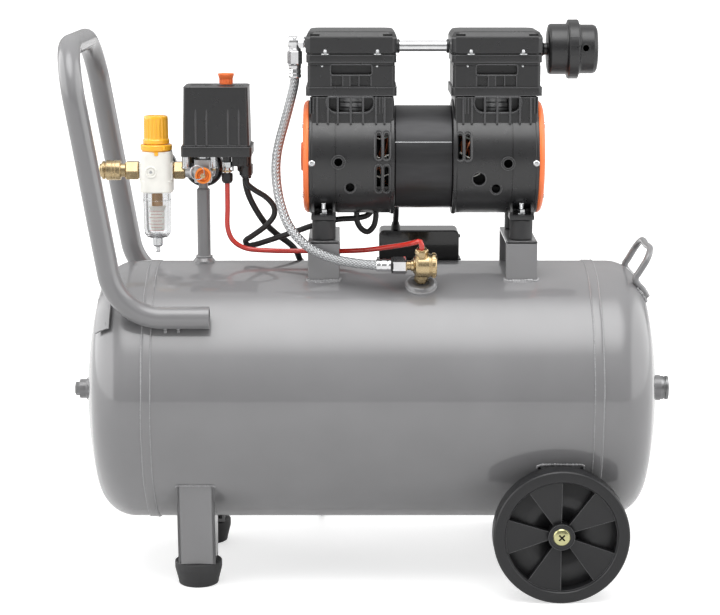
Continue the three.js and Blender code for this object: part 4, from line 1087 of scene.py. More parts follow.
def housing_inside(name, side):
    """What shows through the openings: a near-black sleeve and discs behind the holes as painted shade, the
    steel liner and the ends of the windings.
    """
    low, high, start, _ = housing_span(side)
    x = MOTOR_X + side * BORE_OFFSET
    shade_sheets = [bar("y", hole + 1, *between(face, 50, 52), hole_x, SHAFT_Z + z, 24, 0) for face in BOTH
              for hole_x, z, _, hole in HOLES[side]]
    sleeve = [(44, low + 4), (44, high - 4), (45.4, high - 4), (45.4, low + 4)]
    shade_sheets.append(lathe("x", sleeve, 0, SHAFT_Z, 48, True))
    piece(f"end_housing_{name}_inside", shade_sheets, SHADE_AND_INK, cut=[bar("z", 36, SHAFT_Z + 10, 592, x, 0, 48, 0)])
    liner = [ring("z", 35.4, 29, 546, 611, x, 0, 72, 0.5)]
    liner += [torus("z", 35.4, 0.8, z, x, 0, 72, 8) for z in (550, 556, 562, 568)]
    piece(f"cylinder_liner_{name}", liner, STEEL)
    a, b = sorted((start, start + side * 38))
    strands, lacing = windings(a + 6, b - 4)
    piece(f"windings_{name}", strands, COPPER)
    piece(f"winding_lacing_{name}", lacing, WHITE)


def housing_screws(name, side):
    x, z = housing_span(side)[3] - side * 3.6, SHAFT_Z - 1
    dish = fillet([(0, 0), (3.9, 0), (3.9, 1.3), (2.6, 2.6), (0, 2.8)], 0.7)
    screws = [lathe("y", [(r, face * (DRUM_R + t - 0.2)) for r, t in dish], x, z, 28) for face in BOTH]
    slot = box(x - 2, x + 2, -71, -68.6, z - 0.45, z + 0.45)
    piece(f"housing_screws_{name}", screws, ZINC, cut=[turned(slot, "y", a, (x, 0, z)) for a in (20, 110)])


def housing_feet(name, side):
    x, feet = MOUNT_X[side], []
    for face in BOTH:
        feet.append(box(x - 14.5, x + 14.5, *between(face, MOUNT_Y - 15, MOUNT_Y + 14), 431.5, 437.5, 1.2))
        for w in (-12.4, 12.4):
            web = [(28, 470), (40, 459), (MOUNT_Y + 11, 441), (MOUNT_Y + 12, 436), (28, 436)]
            feet.append(prism("x", [(face * y, z) for y, z in web], x + w - 1.8, x + w + 1.8, 0.6))
        feet.append(box(x - 12, x + 12, *between(face, 27, 32), 436, 470, 0.5))
    piece(f"end_housing_{name}_feet", feet, BLACK)


def end_cap(name, side):
    """A fan guard with a ring of slots, pressed on to the housing's end."""
    profile = [(8, HOUSING_END + 0.3), (CAP_R, HOUSING_END + 0.3), (CAP_R + 0.4, HOUSING_END + 1.2),
               (CAP_R, HOUSING_END + 3.2), (CAP_R - 2.4, CAP_END - 1.4), (CAP_R - 6, CAP_END), (52, CAP_END),
               (50.6, CAP_END - 1.2), (24, CAP_END - 1.2), (22.6, CAP_END), (17.6, CAP_END + 0.4),
               (16.6, CAP_END + 3.2), (8, CAP_END + 3.5)]
    profile = fillet([(r, MOTOR_X + side * t) for r, t in profile], 0.5, 2, True)
    slots = []
    for i in range(24):
        slot = prism("x", [(a, 37 + b) for a, b in capsule(3.8, 23, 6)],
                     *from_motor(side, HOUSING_END - 1, CAP_END + 4))
        slots.append(shifted(turned(slot, "x", 15 * i + 7.5), (0, 0, SHAFT_Z)))
    disc = lathe("x", profile, 0, SHAFT_Z, 112, True)
    piece(f"end_cap_{name}_guard", [disc], ORANGE, f"end_cap_{name}", cut=slots)
    hub = [bar("x", 8.6, *from_motor(side, CAP_END + 0.6, CAP_END + 3.4), 0, SHAFT_Z, 40, 0.6)]
    piece(f"end_cap_{name}_badge", hub, GLOSS)
    low, high = from_motor(side, CAP_END - 1.4, CAP_END + 1)
    spots = [around(0, 58, turn, SHAFT_Z) for turn in (0.8, 2.35, 3.93, 5.5)]
    piece(f"end_cap_{name}_screws", [bar("x", 3.4, low, high, y, z, 24, 0.6) for _, y, z in spots], ZINC)


def head_plan(side, inset, chamfer):
    """The outline of a cylinder head seen from above, drawn in by inset, with its corners cut off."""
    x0, x1 = from_motor(side, HEAD_IN, HEAD_OUT)
    a, b, y = x0 + inset, x1 - inset, HEAD_Y - inset
    return [(a + chamfer, -y), (b - chamfer, -y), (b, -y + chamfer), (b, y - chamfer), (b - chamfer, y),
            (a + chamfer, y), (a, y - chamfer), (a, -y + chamfer)]


def cylinder(name, side):
    mid, bore_x = MOTOR_X + side * (HEAD_IN + HEAD_OUT) / 2, MOTOR_X + side * BORE_OFFSET
    ledge = prism("z", head_plan(side, 0.2, 4), DECK_Z + 0.2, DECK_Z + 10, 1.2, 2, 30)
    under = prism("z", head_plan(side, 3.2, 6), DECK_Z - 0.1, DECK_Z + 1.5, 0.4)
    block = prism("z", head_plan(side, 2.2, 3), DECK_Z + 9, JOINT_Z - 0.6, 1.0, 2, 30)
    tools = [bar("z", 29.2, DECK_Z - 4, JOINT_Z + 8, bore_x, 0, 64, 0)]
    for face in BOTH:
        y0, y1 = between(face, 36.5, 60)
        tools.append(prism("y", rounded_rect(mid, JOINT_Z - 5.6, 23.4, 5.6, 2.2, 3), y0, y1))
        y0, y1 = between(face, HEAD_Y - 6.4, 60)
        tools += [box(mid + a, mid + b, y0, y1, DECK_Z + 11.5, JOINT_Z - 13.4)
                  for a, b in ((-22.8, -10.7), (-0.7, 8.2), (9.8, 22.2))]
    piece(f"cylinder_{name}_block", [ledge, under, block], BLACK, f"cylinder_{name}", cut=tools)
    # The window rims, the small ribs between the panes and the lines round the block at four heights are a
    # lighter black: painted highlights on the block's edges.
    trims = []
    for face in BOTH:
        rim = [(a, face * 47.8, b) for a, b in rounded_rect(mid, JOINT_Z - 5.9, 24.2, 6.2, 2.6, 3)]
        trims.append(tube(rim, 0.75, 8, True))
        for x in (mid - 23.6, mid - 9.9, mid - 1.5, mid + 9, mid + 23):
            trims.append(box(x - 0.7, x + 0.7, *between(face, 46, 48.3), DECK_Z + 11, JOINT_Z - 12.6, 0.35))
    for z, inset, chamfer in ((COVER_Z - 2.5, 1.1, 4), (JOINT_Z + 3.2, 1.1, 4), (DECK_Z + 9.7, 0.6, 4),
                              (DECK_Z + 0.6, 0.6, 4)):
        line = [(x, y, z) for x, y in head_plan(side, inset, chamfer)]
        trims.append(tube(line, 0.55, 8, True))
    piece(f"cylinder_{name}_fins", trims, EDGE_HIGHLIGHT)
    pins = [bar("y", 1.3, *between(face, 46, 48.4), x, JOINT_Z - 1.4, 16, 0.3) for face in BOTH
            for x in (mid - 34, mid + 30)]
    piece(f"cylinder_{name}_pins", pins, ZINC)


def head_cover(name, side):
    x0, x1 = from_motor(side, HEAD_IN, HEAD_OUT)
    mid, bore_x = (x0 + x1) / 2, MOTOR_X + side * BORE_OFFSET
    gasket = prism("z", head_plan(side, 2.6, 3), JOINT_Z - 0.6, JOINT_Z + 3.2, 0.4)
    lip = prism("z", head_plan(side, 0.8, 4), JOINT_Z + 3, COVER_Z - 2.2, 0.8, 2, 30)
    shadow = prism("z", head_plan(side, 3.6, 4), COVER_Z - 2.6, COVER_Z + 1, 0.2)
    cover = prism("z", head_plan(side, 0, 5), COVER_Z, HEAD_TOP - 7.4, 1.4, 3, 30)
    rings = [(0.0, HEAD_TOP - 8.8), (0.6, HEAD_TOP - 6.4), (3.8, HEAD_TOP - 1.4), (6.6, HEAD_TOP - 0.2),
             (14, HEAD_TOP)]
    crown = loft([(head_plan(side, inset, 5 + inset * 0.3), z) for inset, z in rings])
    chamber = [bar("z", 29.2, JOINT_Z - 3, JOINT_Z + 7, bore_x, 0, 64, 0)]
    piece(f"head_cover_{name}_base", [gasket, lip, shadow], BLACK, cut=chamber)
    notches = []
    for face in BOTH:
        for x in (x0 + 11, x1 - 11):
            notches.append(box(x - 5.5, x + 5.5, *between(face, 44.5, 55), HEAD_TOP - 5.6, HEAD_TOP - 3.4))
    ports = [bar("x", 9, *from_motor(side, HEAD_OUT - 3, HEAD_OUT + 2), 0, 632, 32, 0)] if side > 0 else []
    piece(f"head_cover_{name}_shell", [cover, crown], BLACK, f"head_cover_{name}", cut=notches + ports)
    nuts = []
    for face in BOTH:
        for x in (mid - NUT_OFFSET, mid + NUT_OFFSET):
            y = face * (HEAD_Y + 0.2)
            nuts.append(ring("z", 5.3, 1.8, COVER_Z - 1.4, COVER_Z - 0.2, x, y - face * 1.4, 32, 0.2))
            nuts.append(hexagon("z", 7.0, COVER_Z - 0.3, COVER_Z + 3.2, x, y - face * 1.4))
            nuts.append(bar("z", 1.9, COVER_Z - 1, COVER_Z + 4.6, x, y - face * 1.4, 20, 0.5))
    piece(f"head_nuts_{name}", nuts, ZINC)
    pockets = []
    for face in BOTH:
        for x in (mid - NUT_OFFSET, mid + NUT_OFFSET):
            pockets.append(box(x - 5.2, x + 5.2, *between(face, HEAD_Y - 5, HEAD_Y + 0.6), COVER_Z - 2.3,
                               COVER_Z - 1.4, 0.2))
    piece(f"head_nut_seats_{name}", pockets, BLACK)


def rubber_mount(name, x, y):
    profile = fillet([(0, 407.5), (12.8, 407.5), (13.5, 408.6), (13.5, 418), (13.4, 419), (13.5, 420),
                      (13.5, 429.6), (12.8, 431.2), (0, 431.2)], 0.6)
    piece(f"{name}_rubber", [lathe("z", profile, x, y, 48)], RUBBER, name)
    stud = [bar("z", 3.4, 437, 450.6, x, y, 24, 0.6), ring("z", 7.2, 3.6, 437.6, 438.8, x, y, 36, 0.3),
            hexagon("z", 11, 438.8, 443.4, x, y, 12)]
    thread = [torus("z", 3.45, 0.3, 443.8 + 0.9 * i, x, y, 24, 6) for i in range(7)]
    piece(f"{name}_stud", stud + thread, ZINC)


def motor():
    for name, side in (("left", -1), ("right", 1)):
        for part in (housing_drum, housing_shroud, housing_ribs, housing_inside, housing_screws,
                     housing_feet):
            part(name, side)
        end_cap(name, side)
        cylinder(name, side)
        head_cover(name, side)
        x = MOUNT_X[side]
        for place, y in (("front", -MOUNT_Y), ("rear", MOUNT_Y)):
            rubber_mount(f"rubber_mount_{name}_{place}", x, y)
        bracket(name, x)
    low, high = MOTOR_X - STATOR_HALF, MOTOR_X + STATOR_HALF
    outline = [(36, low), (STATOR_R - 1, low), (STATOR_R, low + 1), (STATOR_R, high - 1),
               (STATOR_R - 1, high), (36, high)]
    piece("stator_stack", [lathe("x", outline, 0, SHAFT_Z, 144, True)], DARK, "stator")
    seams = []
    for degrees in (158, 22, -70, -110):
        turn = math.radians(degrees)
        line = [around(low + i * 2, STATOR_R + 0.1, turn, SHAFT_Z) for i in range(int((high - low) / 2) + 1)]
        seams.append(tube(line, 0.6, 8))
    piece("stator_seam_welds", seams, ZINC)
    pipe = [bar("x", 6.6, MOTOR_X - 31, MOTOR_X + 31, 0, PORT_Z, 48, 0.3)]
    piece("crossover_tube", pipe, CHROME, "crossover_pipe")
    flanges = [ring("x", 8.2, 6.6, MOTOR_X + s * 29.4 - 1.6, MOTOR_X + s * 29.4 + 1.6, 0, PORT_Z, 40, 0.6)
               for s in BOTH]
    piece("crossover_seals", flanges, BLACK)
    intake_filter()


def bracket(name, x):
    half, depth, plate, top = 18.5, 60.5, 4.7, 407.2
    deck = box(x - half, x + half, -depth, depth, top - plate, top, 1.6, 3)
    sides = []
    for s in BOTH:
        y0, y1 = between(s, depth, depth - plate)
        sides.append(box(x - half, x + half, y0, y1, 352, top, 1.6, 3))
    piece(f"motor_bracket_{name}_channel", [deck, *sides], GREY, f"motor_bracket_{name}")
    beads = []
    foot = TANK_Z + math.sqrt(TANK_R ** 2 - depth ** 2)
    for s in BOTH:
        line = [(x - half - 1, s * (depth - plate), foot + 1.4),
                (x - half - 0.4, s * (depth + 0.8), foot - 0.3), (x - 6, s * (depth + 1.4), foot - 0.8),
                (x + 6, s * (depth + 1.1), foot - 0.3), (x + half, s * (depth + 1), foot - 0.4),
                (x + half + 1, s * (depth - plate), foot + 1.2)]
        beads.append(weld_bead(line, 1.9, 3.4))
        beads.append(weld_bead([(x - 10, s * (depth + 2.6), foot - 2), (x + 2, s * (depth + 3), foot - 2.3),
                                (x + 14, s * (depth + 2.2), foot - 1.8)], 1.7, 3))
    piece(f"motor_bracket_{name}_weld", beads, WELD_HIGHLIGHT)


def intake_filter():
    z, start = PORT_Z - 3.5, MOTOR_X + HEAD_OUT + 0.3
    neck = fillet([(0, start), (8.4, start), (8.4, 202), (7, 203.4), (7, 207), (10, 208.4), (0, 209)], 0.6)
    can = fillet([(0, 207.4), (24, 207.4), (28.6, 208.6), (29.8, 211), (29.8, 229), (31, 230.2), (34.2, 231),
                  (34.7, 232.6), (34.7, 242.2), (34, 243.4), (30.6, 244.2), (29.2, 245.4), (28.8, 247),
                  (28.8, 260.6), (27.4, 264), (24.6, 265.5), (0, 265.5)], 0.9)
    hole_x, hole_z = 250.5, z + 2.6
    hole = [bar("y", 3.6, -40, -22, hole_x, hole_z, 32, 0)]
    piece("intake_filter_can", [lathe("x", neck, 0, z, 48), lathe("x", can, 0, z, 96)], BLACK,
          "intake_filter", cut=hole)
    trims = [torus("y", 4.6, 0.9, -28.4, hole_x, hole_z, 32, 8)]
    for i in range(20):
        rib = box(231.6, 243, -1.2, 1.2, 33.9, 34.9, 0.4)
        trims.append(shifted(turned(rib, "x", 18 * (i + 0.5)), (0, 0, z)))
    piece("intake_filter_trim", trims, BLACK)
    # A near-black disc behind the can's hole: painted shade inside the filter.
    piece("intake_filter_inside_shade", [bar("y", 5, -22, -20.6, hole_x, hole_z, 24, 0)], SHADE_AND_INK)


motor()


# ---------------------------------------------------------------- shared shapes for the fittings
def fluted(axis, radius, low, high, count, depth, a=0.0, b=0.0):
    """A ribbed grip: count ridges round a bar, their ends softened."""
    edge, sides = 0.6, 6
    rows = []
    for t, size, cut in ((low, radius - edge, 0), (low + edge, radius, 0.4), (low + 2 * edge, radius, 1),
                         (high - 2 * edge, radius, 1), (high - edge, radius, 0.4), (high, radius - edge, 0)):
        for i in range(count * sides):
            wave = 0.5 + 0.5 * math.cos(2 * math.pi * i / sides)
            turn = 2 * math.pi * i / (count * sides)
            rows.append(on_axis(axis, a, b, size - depth * cut * (1 - wave), turn, t))
    return rows, skin_of_rows(count * sides, 6)


def threads(axis, radius, low, high, pitch=1.25, a=0.0, b=0.0):
    count = max(1, int((high - low) / pitch))
    return [torus(axis, radius, pitch * 0.28, low + pitch * (i + 0.5), a, b, 36, 6) for i in range(count)]


def drain_valve():
    x, top = LEG_X, TANK_Z - TANK_R - 7.3
    stem = [(0, top - 22), (5.5, top - 22), (5.5, top - 16), (6.4, top - 14), (5.5, top - 12), (5.5, top - 8),
            (0, top - 8)]
    body = [hexagon("z", 18, top - 9, top, x), turning("z", stem, 0.7, x, 0, 40),
            ring("y", 3.5, 1.8, 4, 14, x, top - 14, 28, 0.4)]
    piece("drain_valve_body", body, BRASS, "drain_valve")
    knob_top = top - 22.3
    grip = fluted("z", 8.5, knob_top - 7, knob_top, 24, 0.6, x)
    wings = [box(x - 11, x + 11, -1.6, 1.6, knob_top - 6, knob_top - 1, 1.2, 3)]
    piece("drain_knob_grip", [grip, *wings], BRASS, "drain_knob", "drain_knob")


# ---------------------------------------------------------------- moving parts inside the motor
def fan_blade(ends, start):
    """A curved blade 2 mm thick, from the hub out to the fan's rim, between two places along X."""
    corners, faces = [], []
    for thick in BOTH:
        for k in range(7):
            r, turn = 12 + 36 * k / 6, start + 0.35 * (k / 6) ** 2
            for x in ends:
                corners.append((x, r * math.cos(turn) - thick * math.sin(turn),
                                SHAFT_Z + r * math.sin(turn) + thick * math.cos(turn)))
    for layer in (0, 14):
        faces += [[layer + 2 * k, layer + 2 * k + 1, layer + 2 * k + 3, layer + 2 * k + 2] for k in range(6)]
    faces += [[2 * k + e, 2 * k + 2 + e, 14 + 2 * k + 2 + e, 14 + 2 * k + e] for k in range(6)
              for e in (0, 1)]
    return corners, faces + [[0, 1, 15, 14], [12, 13, 27, 26]]


def running_works():
    shaft = fillet([(0, -77.5), (7.2, -77.5), (8, -76.6), (8, 197.6), (7.2, 198.5), (0, 198.5)], 0.4)
    piece("rotor_shaft_bar", [lathe("x", shaft, 0, SHAFT_Z, 48)], ZINC, "rotor_shaft", "rotor_shaft")
    left, right = MOTOR_X - 31, MOTOR_X + 31
    core = turning("x", [(8, left), (32, left), (32, right), (8, right)], 1, 0, SHAFT_Z, 96, True)
    rings = [ring("x", 31.2, 22, MOTOR_X + s * 33 - 2.4, MOTOR_X + s * 33 + 2.4, 0, SHAFT_Z, 64, 0.8)
             for s in BOTH]
    piece("rotor_core", [core], DARK, body="rotor_shaft")
    piece("rotor_end_rings", rings, CAST, body="rotor_shaft")
    for name, side in (("left", -1), ("right", 1)):
        x, throw = MOTOR_X + side * BORE_OFFSET, side * 6
        disc = [ring("x", 14, 8, x - 9, x + 9, 0, SHAFT_Z + throw, 56, 0.8),
                torus("x", 14.2, 0.8, x, 0, SHAFT_Z + throw)]
        piece(f"crank_{name}", disc, CAST, body="rotor_shaft")
        fan_x = MOTOR_X + side * 112
        low, high = sorted((fan_x, fan_x + side * 2.4))
        blades = [ring("x", 49, 8, low, high, 0, SHAFT_Z, 72, 0.5)]
        for i in range(7):
            blades.append(fan_blade(sorted((fan_x, fan_x + side * 15)), 2 * math.pi * i / 7))
        piece(f"fan_{name}", blades, BLACK, body="rotor_shaft")
        crown = fillet([(0, 598), (28, 598), (28.4, 598.6), (28.4, 605.4), (28, 606), (24, 606), (23, 605.2),
                        (0, 605.2)], 0.4)
        rod = [box(x - 6, x + 6, -10, 10, 529.5, 599, 1.5, 3), bar("x", 6.5, x - 8, x + 8, 0, 538, 40, 0.8)]
        piece(f"piston_{name}_crown", [lathe("z", crown, x, 0, 72), *rod], CAST, f"piston_{name}",
              f"piston_{name}", cut=[box(x - 8, x - 3.6, -6.5, 6.5, 546, 592),
                                     box(x + 3.6, x + 8, -6.5, 6.5, 546, 592)])
        piece(f"piston_{name}_cup", [torus("z", 27.4, 1.0, 602, x, 0, 64),
                                     bar("z", 5, 605.2, 606.6, x, 0, 32, 0.5)], WHITE, body=f"piston_{name}")


# ---------------------------------------------------------------- capacitor box and the leads
def capacitor_box():
    outline = rounded_rect(58.8, 382.2, 49.3, 20.0, 6.5, 6)
    shell = prism("y", outline, 64, 108, 1.6, 3, 30)
    foot = loft([(rounded_rect(59, 86, 51.5, 24.5, 4), 352), (rounded_rect(59, 86, 52, 25, 4), 353.5),
                 (rounded_rect(59, 86, 52, 25, 4), 362)])
    tabs = [box(108, 111, 69, 78, 361, 366, 0.8), box(107, 110.6, 92, 101, 361, 366, 0.8),
            box(107, 110, 70, 76, 392, 396, 0.8), box(57, 61, 62.8, 66, 363, 364.5, 0.3)]
    seam = tube([(a, 64.4, b) for a, b in rounded_rect(58.8, 382.2, 47.6, 18.3, 5.4, 6)], 0.5, 6, True)
    gasket_cut = [lathe("x", [(0, -10), (TANK_R + 0.4, -10), (TANK_R + 0.4, 130), (0, 130)], 0, TANK_Z, 192)]
    piece("capacitor_box_shell", [shell], GLOSS, "capacitor_box")
    piece("capacitor_box_foot", [foot], GLOSS, cut=gasket_cut)
    piece("capacitor_box_trim", [*tabs, seam], GLOSS)
    piece("capacitor_screws", [bar("x", 1.6, 110, 111, y, 363.6, 20, 0.3) for y in (73.5, 96.5)], ZINC)


def leads():
    route = smooth_path([(30, 78, 396), (30, 75, 408), (30.5, 66, 425), (30, 54, 441), (30.5, 48.5, 448.8)],
                        3)
    lead = piece("capacitor_lead", [tube(route, CAPACITOR_LEAD_R, 20)], CABLE)
    sleeve = [(3.6, 400.6), (6, 400.6), (5.2, 407), (4.2, 411), (3.6, 411)]
    boot = piece("capacitor_boot", [turning("z", sleeve, 0.6, 30, 76.4, 32, True)], CABLE)
    path = smooth_path([(-149.3, -5, 474.2), (-149.2, -5, 469), (-141.5, -3, 461.5), (-126, 0, 451),
                        (-117.5, 2, 440), (-117.2, 4, 429.5), (-126.4, 7, 416.8), (-144.3, 9, 403.1),
                        (-152.5, 10.5, 397), (-149.5, 13, 391.3), (-142, 13, 392), (-122.5, 8, 398.5),
                        (-104.3, 4, 405.2), (-88.2, 1, 411), (-72.1, 0, 416.8), (-42, 0, 424.5),
                        (-16.1, 0, 426.5), (-4.5, 0, 430), (0.5, 0, 436)], 3)
    motor_lead = piece("motor_lead_sheath", [tube(path, MOTOR_LEAD_R, 20)], CABLE, "motor_lead")
    loop = smooth_path([(-17.6, 0, 437), (-18, 0, 431), (-17.4, 0, 422), (-12, 0, 412.9), (-5, 0, 409.6),
                        (1.9, 0, 415.7), (4.9, 0, 427), (4.9, 0, 436)], 2.5)
    spare = piece("motor_lead_loop", [tube(loop, MOTOR_LEAD_R, 20)], CABLE)
    return [(lead, route, CAPACITOR_LEAD_R, (boot,)), (motor_lead, path, MOTOR_LEAD_R, ()),
            (spare, loop, MOTOR_LEAD_R, ())]


# ---------------------------------------------------------------- gauges that face the back
def gauge(name, x, z, radius, stem_y, front_y, depth, needle_y, needle):
    """A dial gauge on a stem. Its scale has no figures, and its needle is as long as needle says."""
    back = front_y + depth
    shell = fillet([(0, stem_y), (5, stem_y), (5, front_y - 1), (radius - 5, front_y),
                    (radius - 1, front_y + 2.4), (radius, front_y + 6), (radius, back - 4),
                    (radius - 2.4, back - 4), (radius - 2.4, back - 8.4), (0, back - 8.4)], 0.9)
    piece(f"{name}_case", [lathe("y", shell, x, z, 72)], GLOSS, name)
    bezel = fillet([(radius - 2.6, back - 5), (radius + 0.01, back - 5), (radius + 0.01, back - 1),
                    (radius - 1, back), (radius - 2.6, back)], 0.4, 2, True)
    piece(f"{name}_bezel", [lathe("y", bezel, x, z, 72, True)], ZINC)
    piece(f"{name}_dial", [bar("y", radius - 2.5, back - 8.6, back - 7.9, x, z, 64, 0.1)], WHITE)
    ticks = []
    for i in range(37):
        half, length = (0.45, 8.4) if i % 6 == 0 else (0.2, 6.2)
        mark = box(x - half, x + half, back - 8, back - 7.6, z + (radius - length), z + radius - 4)
        ticks.append(turned(mark, "y", 135 - 7.5 * i, (x, 0, z)))
    piece(f"{name}_ticks", ticks, SHADE_AND_INK)
    reach, turns = radius - 9.4, [math.radians(-90 - 3 * i) for i in range(16)]
    arc = [(x + reach * math.sin(a), back - 7.8, z + reach * math.cos(a)) for a in turns]
    piece(f"{name}_red_zone", [tube(arc, 0.7, 6)], RED)
    hub = bar("y", 2.2, needle_y, needle_y + 2.6, x, z, 24, 0.5)
    blade = prism("y", [(x - 1.1, z + 4), (x + 1.1, z + 4), (x + 0.35, z - needle), (x - 0.35, z - needle)],
                  needle_y + 1, needle_y + 1.8, 0.2)
    piece(f"{name}_needle_blade", [hub, turned(blade, "y", -45, (x, 0, z))], ORANGE, f"{name}_needle",
          f"{name}_needle")
    piece(f"{name}_glass", [bar("y", radius - 2.5, back - 2.6, back - 1.4, x, z, 64, 0.2)], CLEAR)


# ---------------------------------------------------------------- manifold, safety valve and pressure switch
def manifold():
    core = soft_block(POST_X, 0, 10, 12, 470, 498, 2, 1)
    arm = [(0, -224), (7.2, -224), (8.6, -222.6), (8.6, -215), (7.4, -213), (7.4, -208), (0, -208)]
    side = [(0, -194), (7.4, -194), (7.4, -189), (6.4, -187.6), (0, -187.6)]
    arm, side = [turning("x", profile, 0.8, 0, AIR_Z, 40) for profile in (arm, side)]
    neck = bar("z", 6.5, 497, 502.7, POST_X, 0, 36, 0.4)
    safety = [bar("y", 6.5, -26, -11, SAFETY_X, SAFETY_Z, 40, 0.5),
              bar("y", 7.6, -25, -22, SAFETY_X, SAFETY_Z, 6, 0.5)]
    blank = [bar("x", 4.6, -188, -186.4, 0, AIR_Z, 6, 0.3)]
    piece("manifold_casting", [core, arm, side], CAST, "manifold_block")
    piece("manifold_fittings", [neck, *safety, *blank], ZINC)
    for name, x, size in (("left", -221.5, 4.6), ("right", -188.5, 4.2)):
        stud = [bar("z", size, 489, 502.8, x, -8, 32, 0.6),
                ring("z", size + 0.9, 2, 487.4, 489.2, x, -8, 32, 0.4)]
        piece(f"switch_stud_{name}", stud, ZINC)
    piece("switch_stud_tip", [bar("z", 2.6, 484.6, 487.6, -188.5, -8, 24, 0.4)], BRASS)
    union = [hexagon("x", 23, -236.5, -222.5, 0, AIR_Z, 0), torus("x", 9.6, 0.8, -237, 0, AIR_Z)]
    piece("union_nut", union, BRASS)
    cap_profile = fillet([(0, -27.5), (4.6, -27.5), (4.6, -30.6), (5.8, -30.6), (5.8, -28.8), (7.0, -28.8),
                          (7.0, -32), (9.5, -32), (9.5, -25), (0, -25)], 0.35)
    piece("safety_valve_cap", [lathe("y", cap_profile, SAFETY_X, SAFETY_Z, 56)], SAFETY)
    turns = [math.radians(6 * i) for i in range(60)]
    path = [(POST_X - 4.3 + 8.2 * math.cos(a), -36.4 + 0.8 * math.sin(2 * a), 485.3 + 8.2 * math.sin(a))
            for a in turns]
    stem = [bar("y", 2.4, -38, -32.3, SAFETY_X, SAFETY_Z, 28, 0.5),
            bar("y", 3.2, -34, -32.4, SAFETY_X, SAFETY_Z, 28, 0.4)]
    piece("safety_ring_wire", [tube(path, 0.75, 10, True)], ZINC, "safety_pull_ring", "safety_pull_ring")
    piece("safety_ring_pin", stem, BRASS, body="safety_pull_ring")


def switch_base():
    skirt = soft_block(SKIRT_X, 0, 41.75, 33, 503, 514.9, 5, 1.0)
    lip = loft([(rounded_rect(SKIRT_X, 0, 40.4, 31.6, 4.5), 514),
                (rounded_rect(SKIRT_X, 0, 40.4, 31.6, 4.5), 515.2)])
    works = soft_block(-182.5, 0, 20, 17, 515, 560, 3, 1)
    piece("switch_skirt", [skirt, lip, works], BLACK, "switch_base")
    gland = [soft_block(-157, 0, 9.4, 15, 490, 503.4, 2, 1.2),
             soft_block(-151.5, 4, 7.6, 12, 482, 503.4, 5.5, 0.8)]
    collars = [ring("z", 8.2, 4.2, 478.6, 491, -150.6, 8.5, 40, 0.8),
               ring("z", 7.6, 4, 478.6, 491, -150.4, -5.4, 40, 0.8)]
    webs = [prism("x", [(-16, 503), (-16, 492), (-9, 484), (-9, 503)], -166 + i * 6, -164.4 + i * 6, 0.3)
            for i in range(3)]
    piece("switch_gland", [*gland, *collars, *webs], BLACK)
    nuts = [fluted("z", 5.6, 475, 479.4, 12, 0.5, a, b) for a, b in ((-151.5, 9), (-149.3, -5))]
    piece("switch_gland_nuts", nuts, BLACK)


def switch_cover():
    rows = ((38.9, 29.9, 4.4, 515.3), (39.2, 30.2, 4.4, 516), (37.8, 29.2, 4, 583.4), (37.3, 28.7, 4, 584.9),
            (36.4, 27.8, 4, 585.5))
    sections = [(rounded_rect(COVER_X, 0, half_x, half_y, radius, 6), z) for half_x, half_y, radius,
                z in rows]
    hole = [bar("z", 7.6, 575, 590, KNOB_X, 0, 40, 0)]
    piece("switch_cover_shell", [loft(sections)], BLACK, "switch_cover", cut=hole)
    # The ribs, the oval, the knob's ring, the small bars and the lines round the cover's edges are a lighter
    # black: painted highlights on them.
    trims = []
    for face in BOTH:
        for rib in (-207.6, -194.8, -169.6, -156.8):
            outline = [(face * 29, 516), (face * 31.6, 516.4), (face * 31.1, 542), (face * 29.4, 561),
                       (face * 28.4, 561)]
            trims.append(prism("x", outline, rib - 1.15, rib + 1.15, 0.9, 3))
    oval = [(-203 + 13.5 * math.cos(t * math.pi / 30), 3 + 8 * math.sin(t * math.pi / 30), 585.5)
            for t in range(60)]
    trims.append(tube(oval, 0.8, 8, True))
    trims.append(ring("z", 10.8, 7.7, 585, 586.5, KNOB_X, 0, 56, 0.5))
    trims += [box(-160 + 3.4 * i, -158.6 + 3.4 * i, -14, 14, 585, 586.2, 0.4) for i in range(3)]
    for middle, z, half_x, half_y in ((COVER_X, 584.6, 37.6, 29), (COVER_X, 516, 39.3, 30.3),
                                      (SKIRT_X, 514.6, 41.5, 32.7)):
        edge = [(x, y, z) for x, y in rounded_rect(middle, 0, half_x, half_y, 4.2, 6)]
        trims.append(tube(edge, 0.55, 8, True))
    piece("switch_cover_ribs", trims, EDGE_HIGHLIGHT)
    cap = fillet([(0, 564), (7, 564), (7, 586), (7.5, 587.4), (7.5, 592.6), (8.4, 594), (9.5, 597.6),
                  (9.6, 599.2), (8.8, 599.5), (6.8, 599.5), (6.2, 598.7), (0, 598.7)], 0.35)
    grip = [lathe("z", cap, KNOB_X, 0, 56)]
    grip += [turned(box(-165.7, -164.9, -0.7, 0.7, 587.4, 593.4, 0.3), "z", 24 * i, (KNOB_X, 0, 0))
             for i in range(15)]
    piece("switch_knob_cap", grip, ORANGE, "switch_knob", "switch_knob")


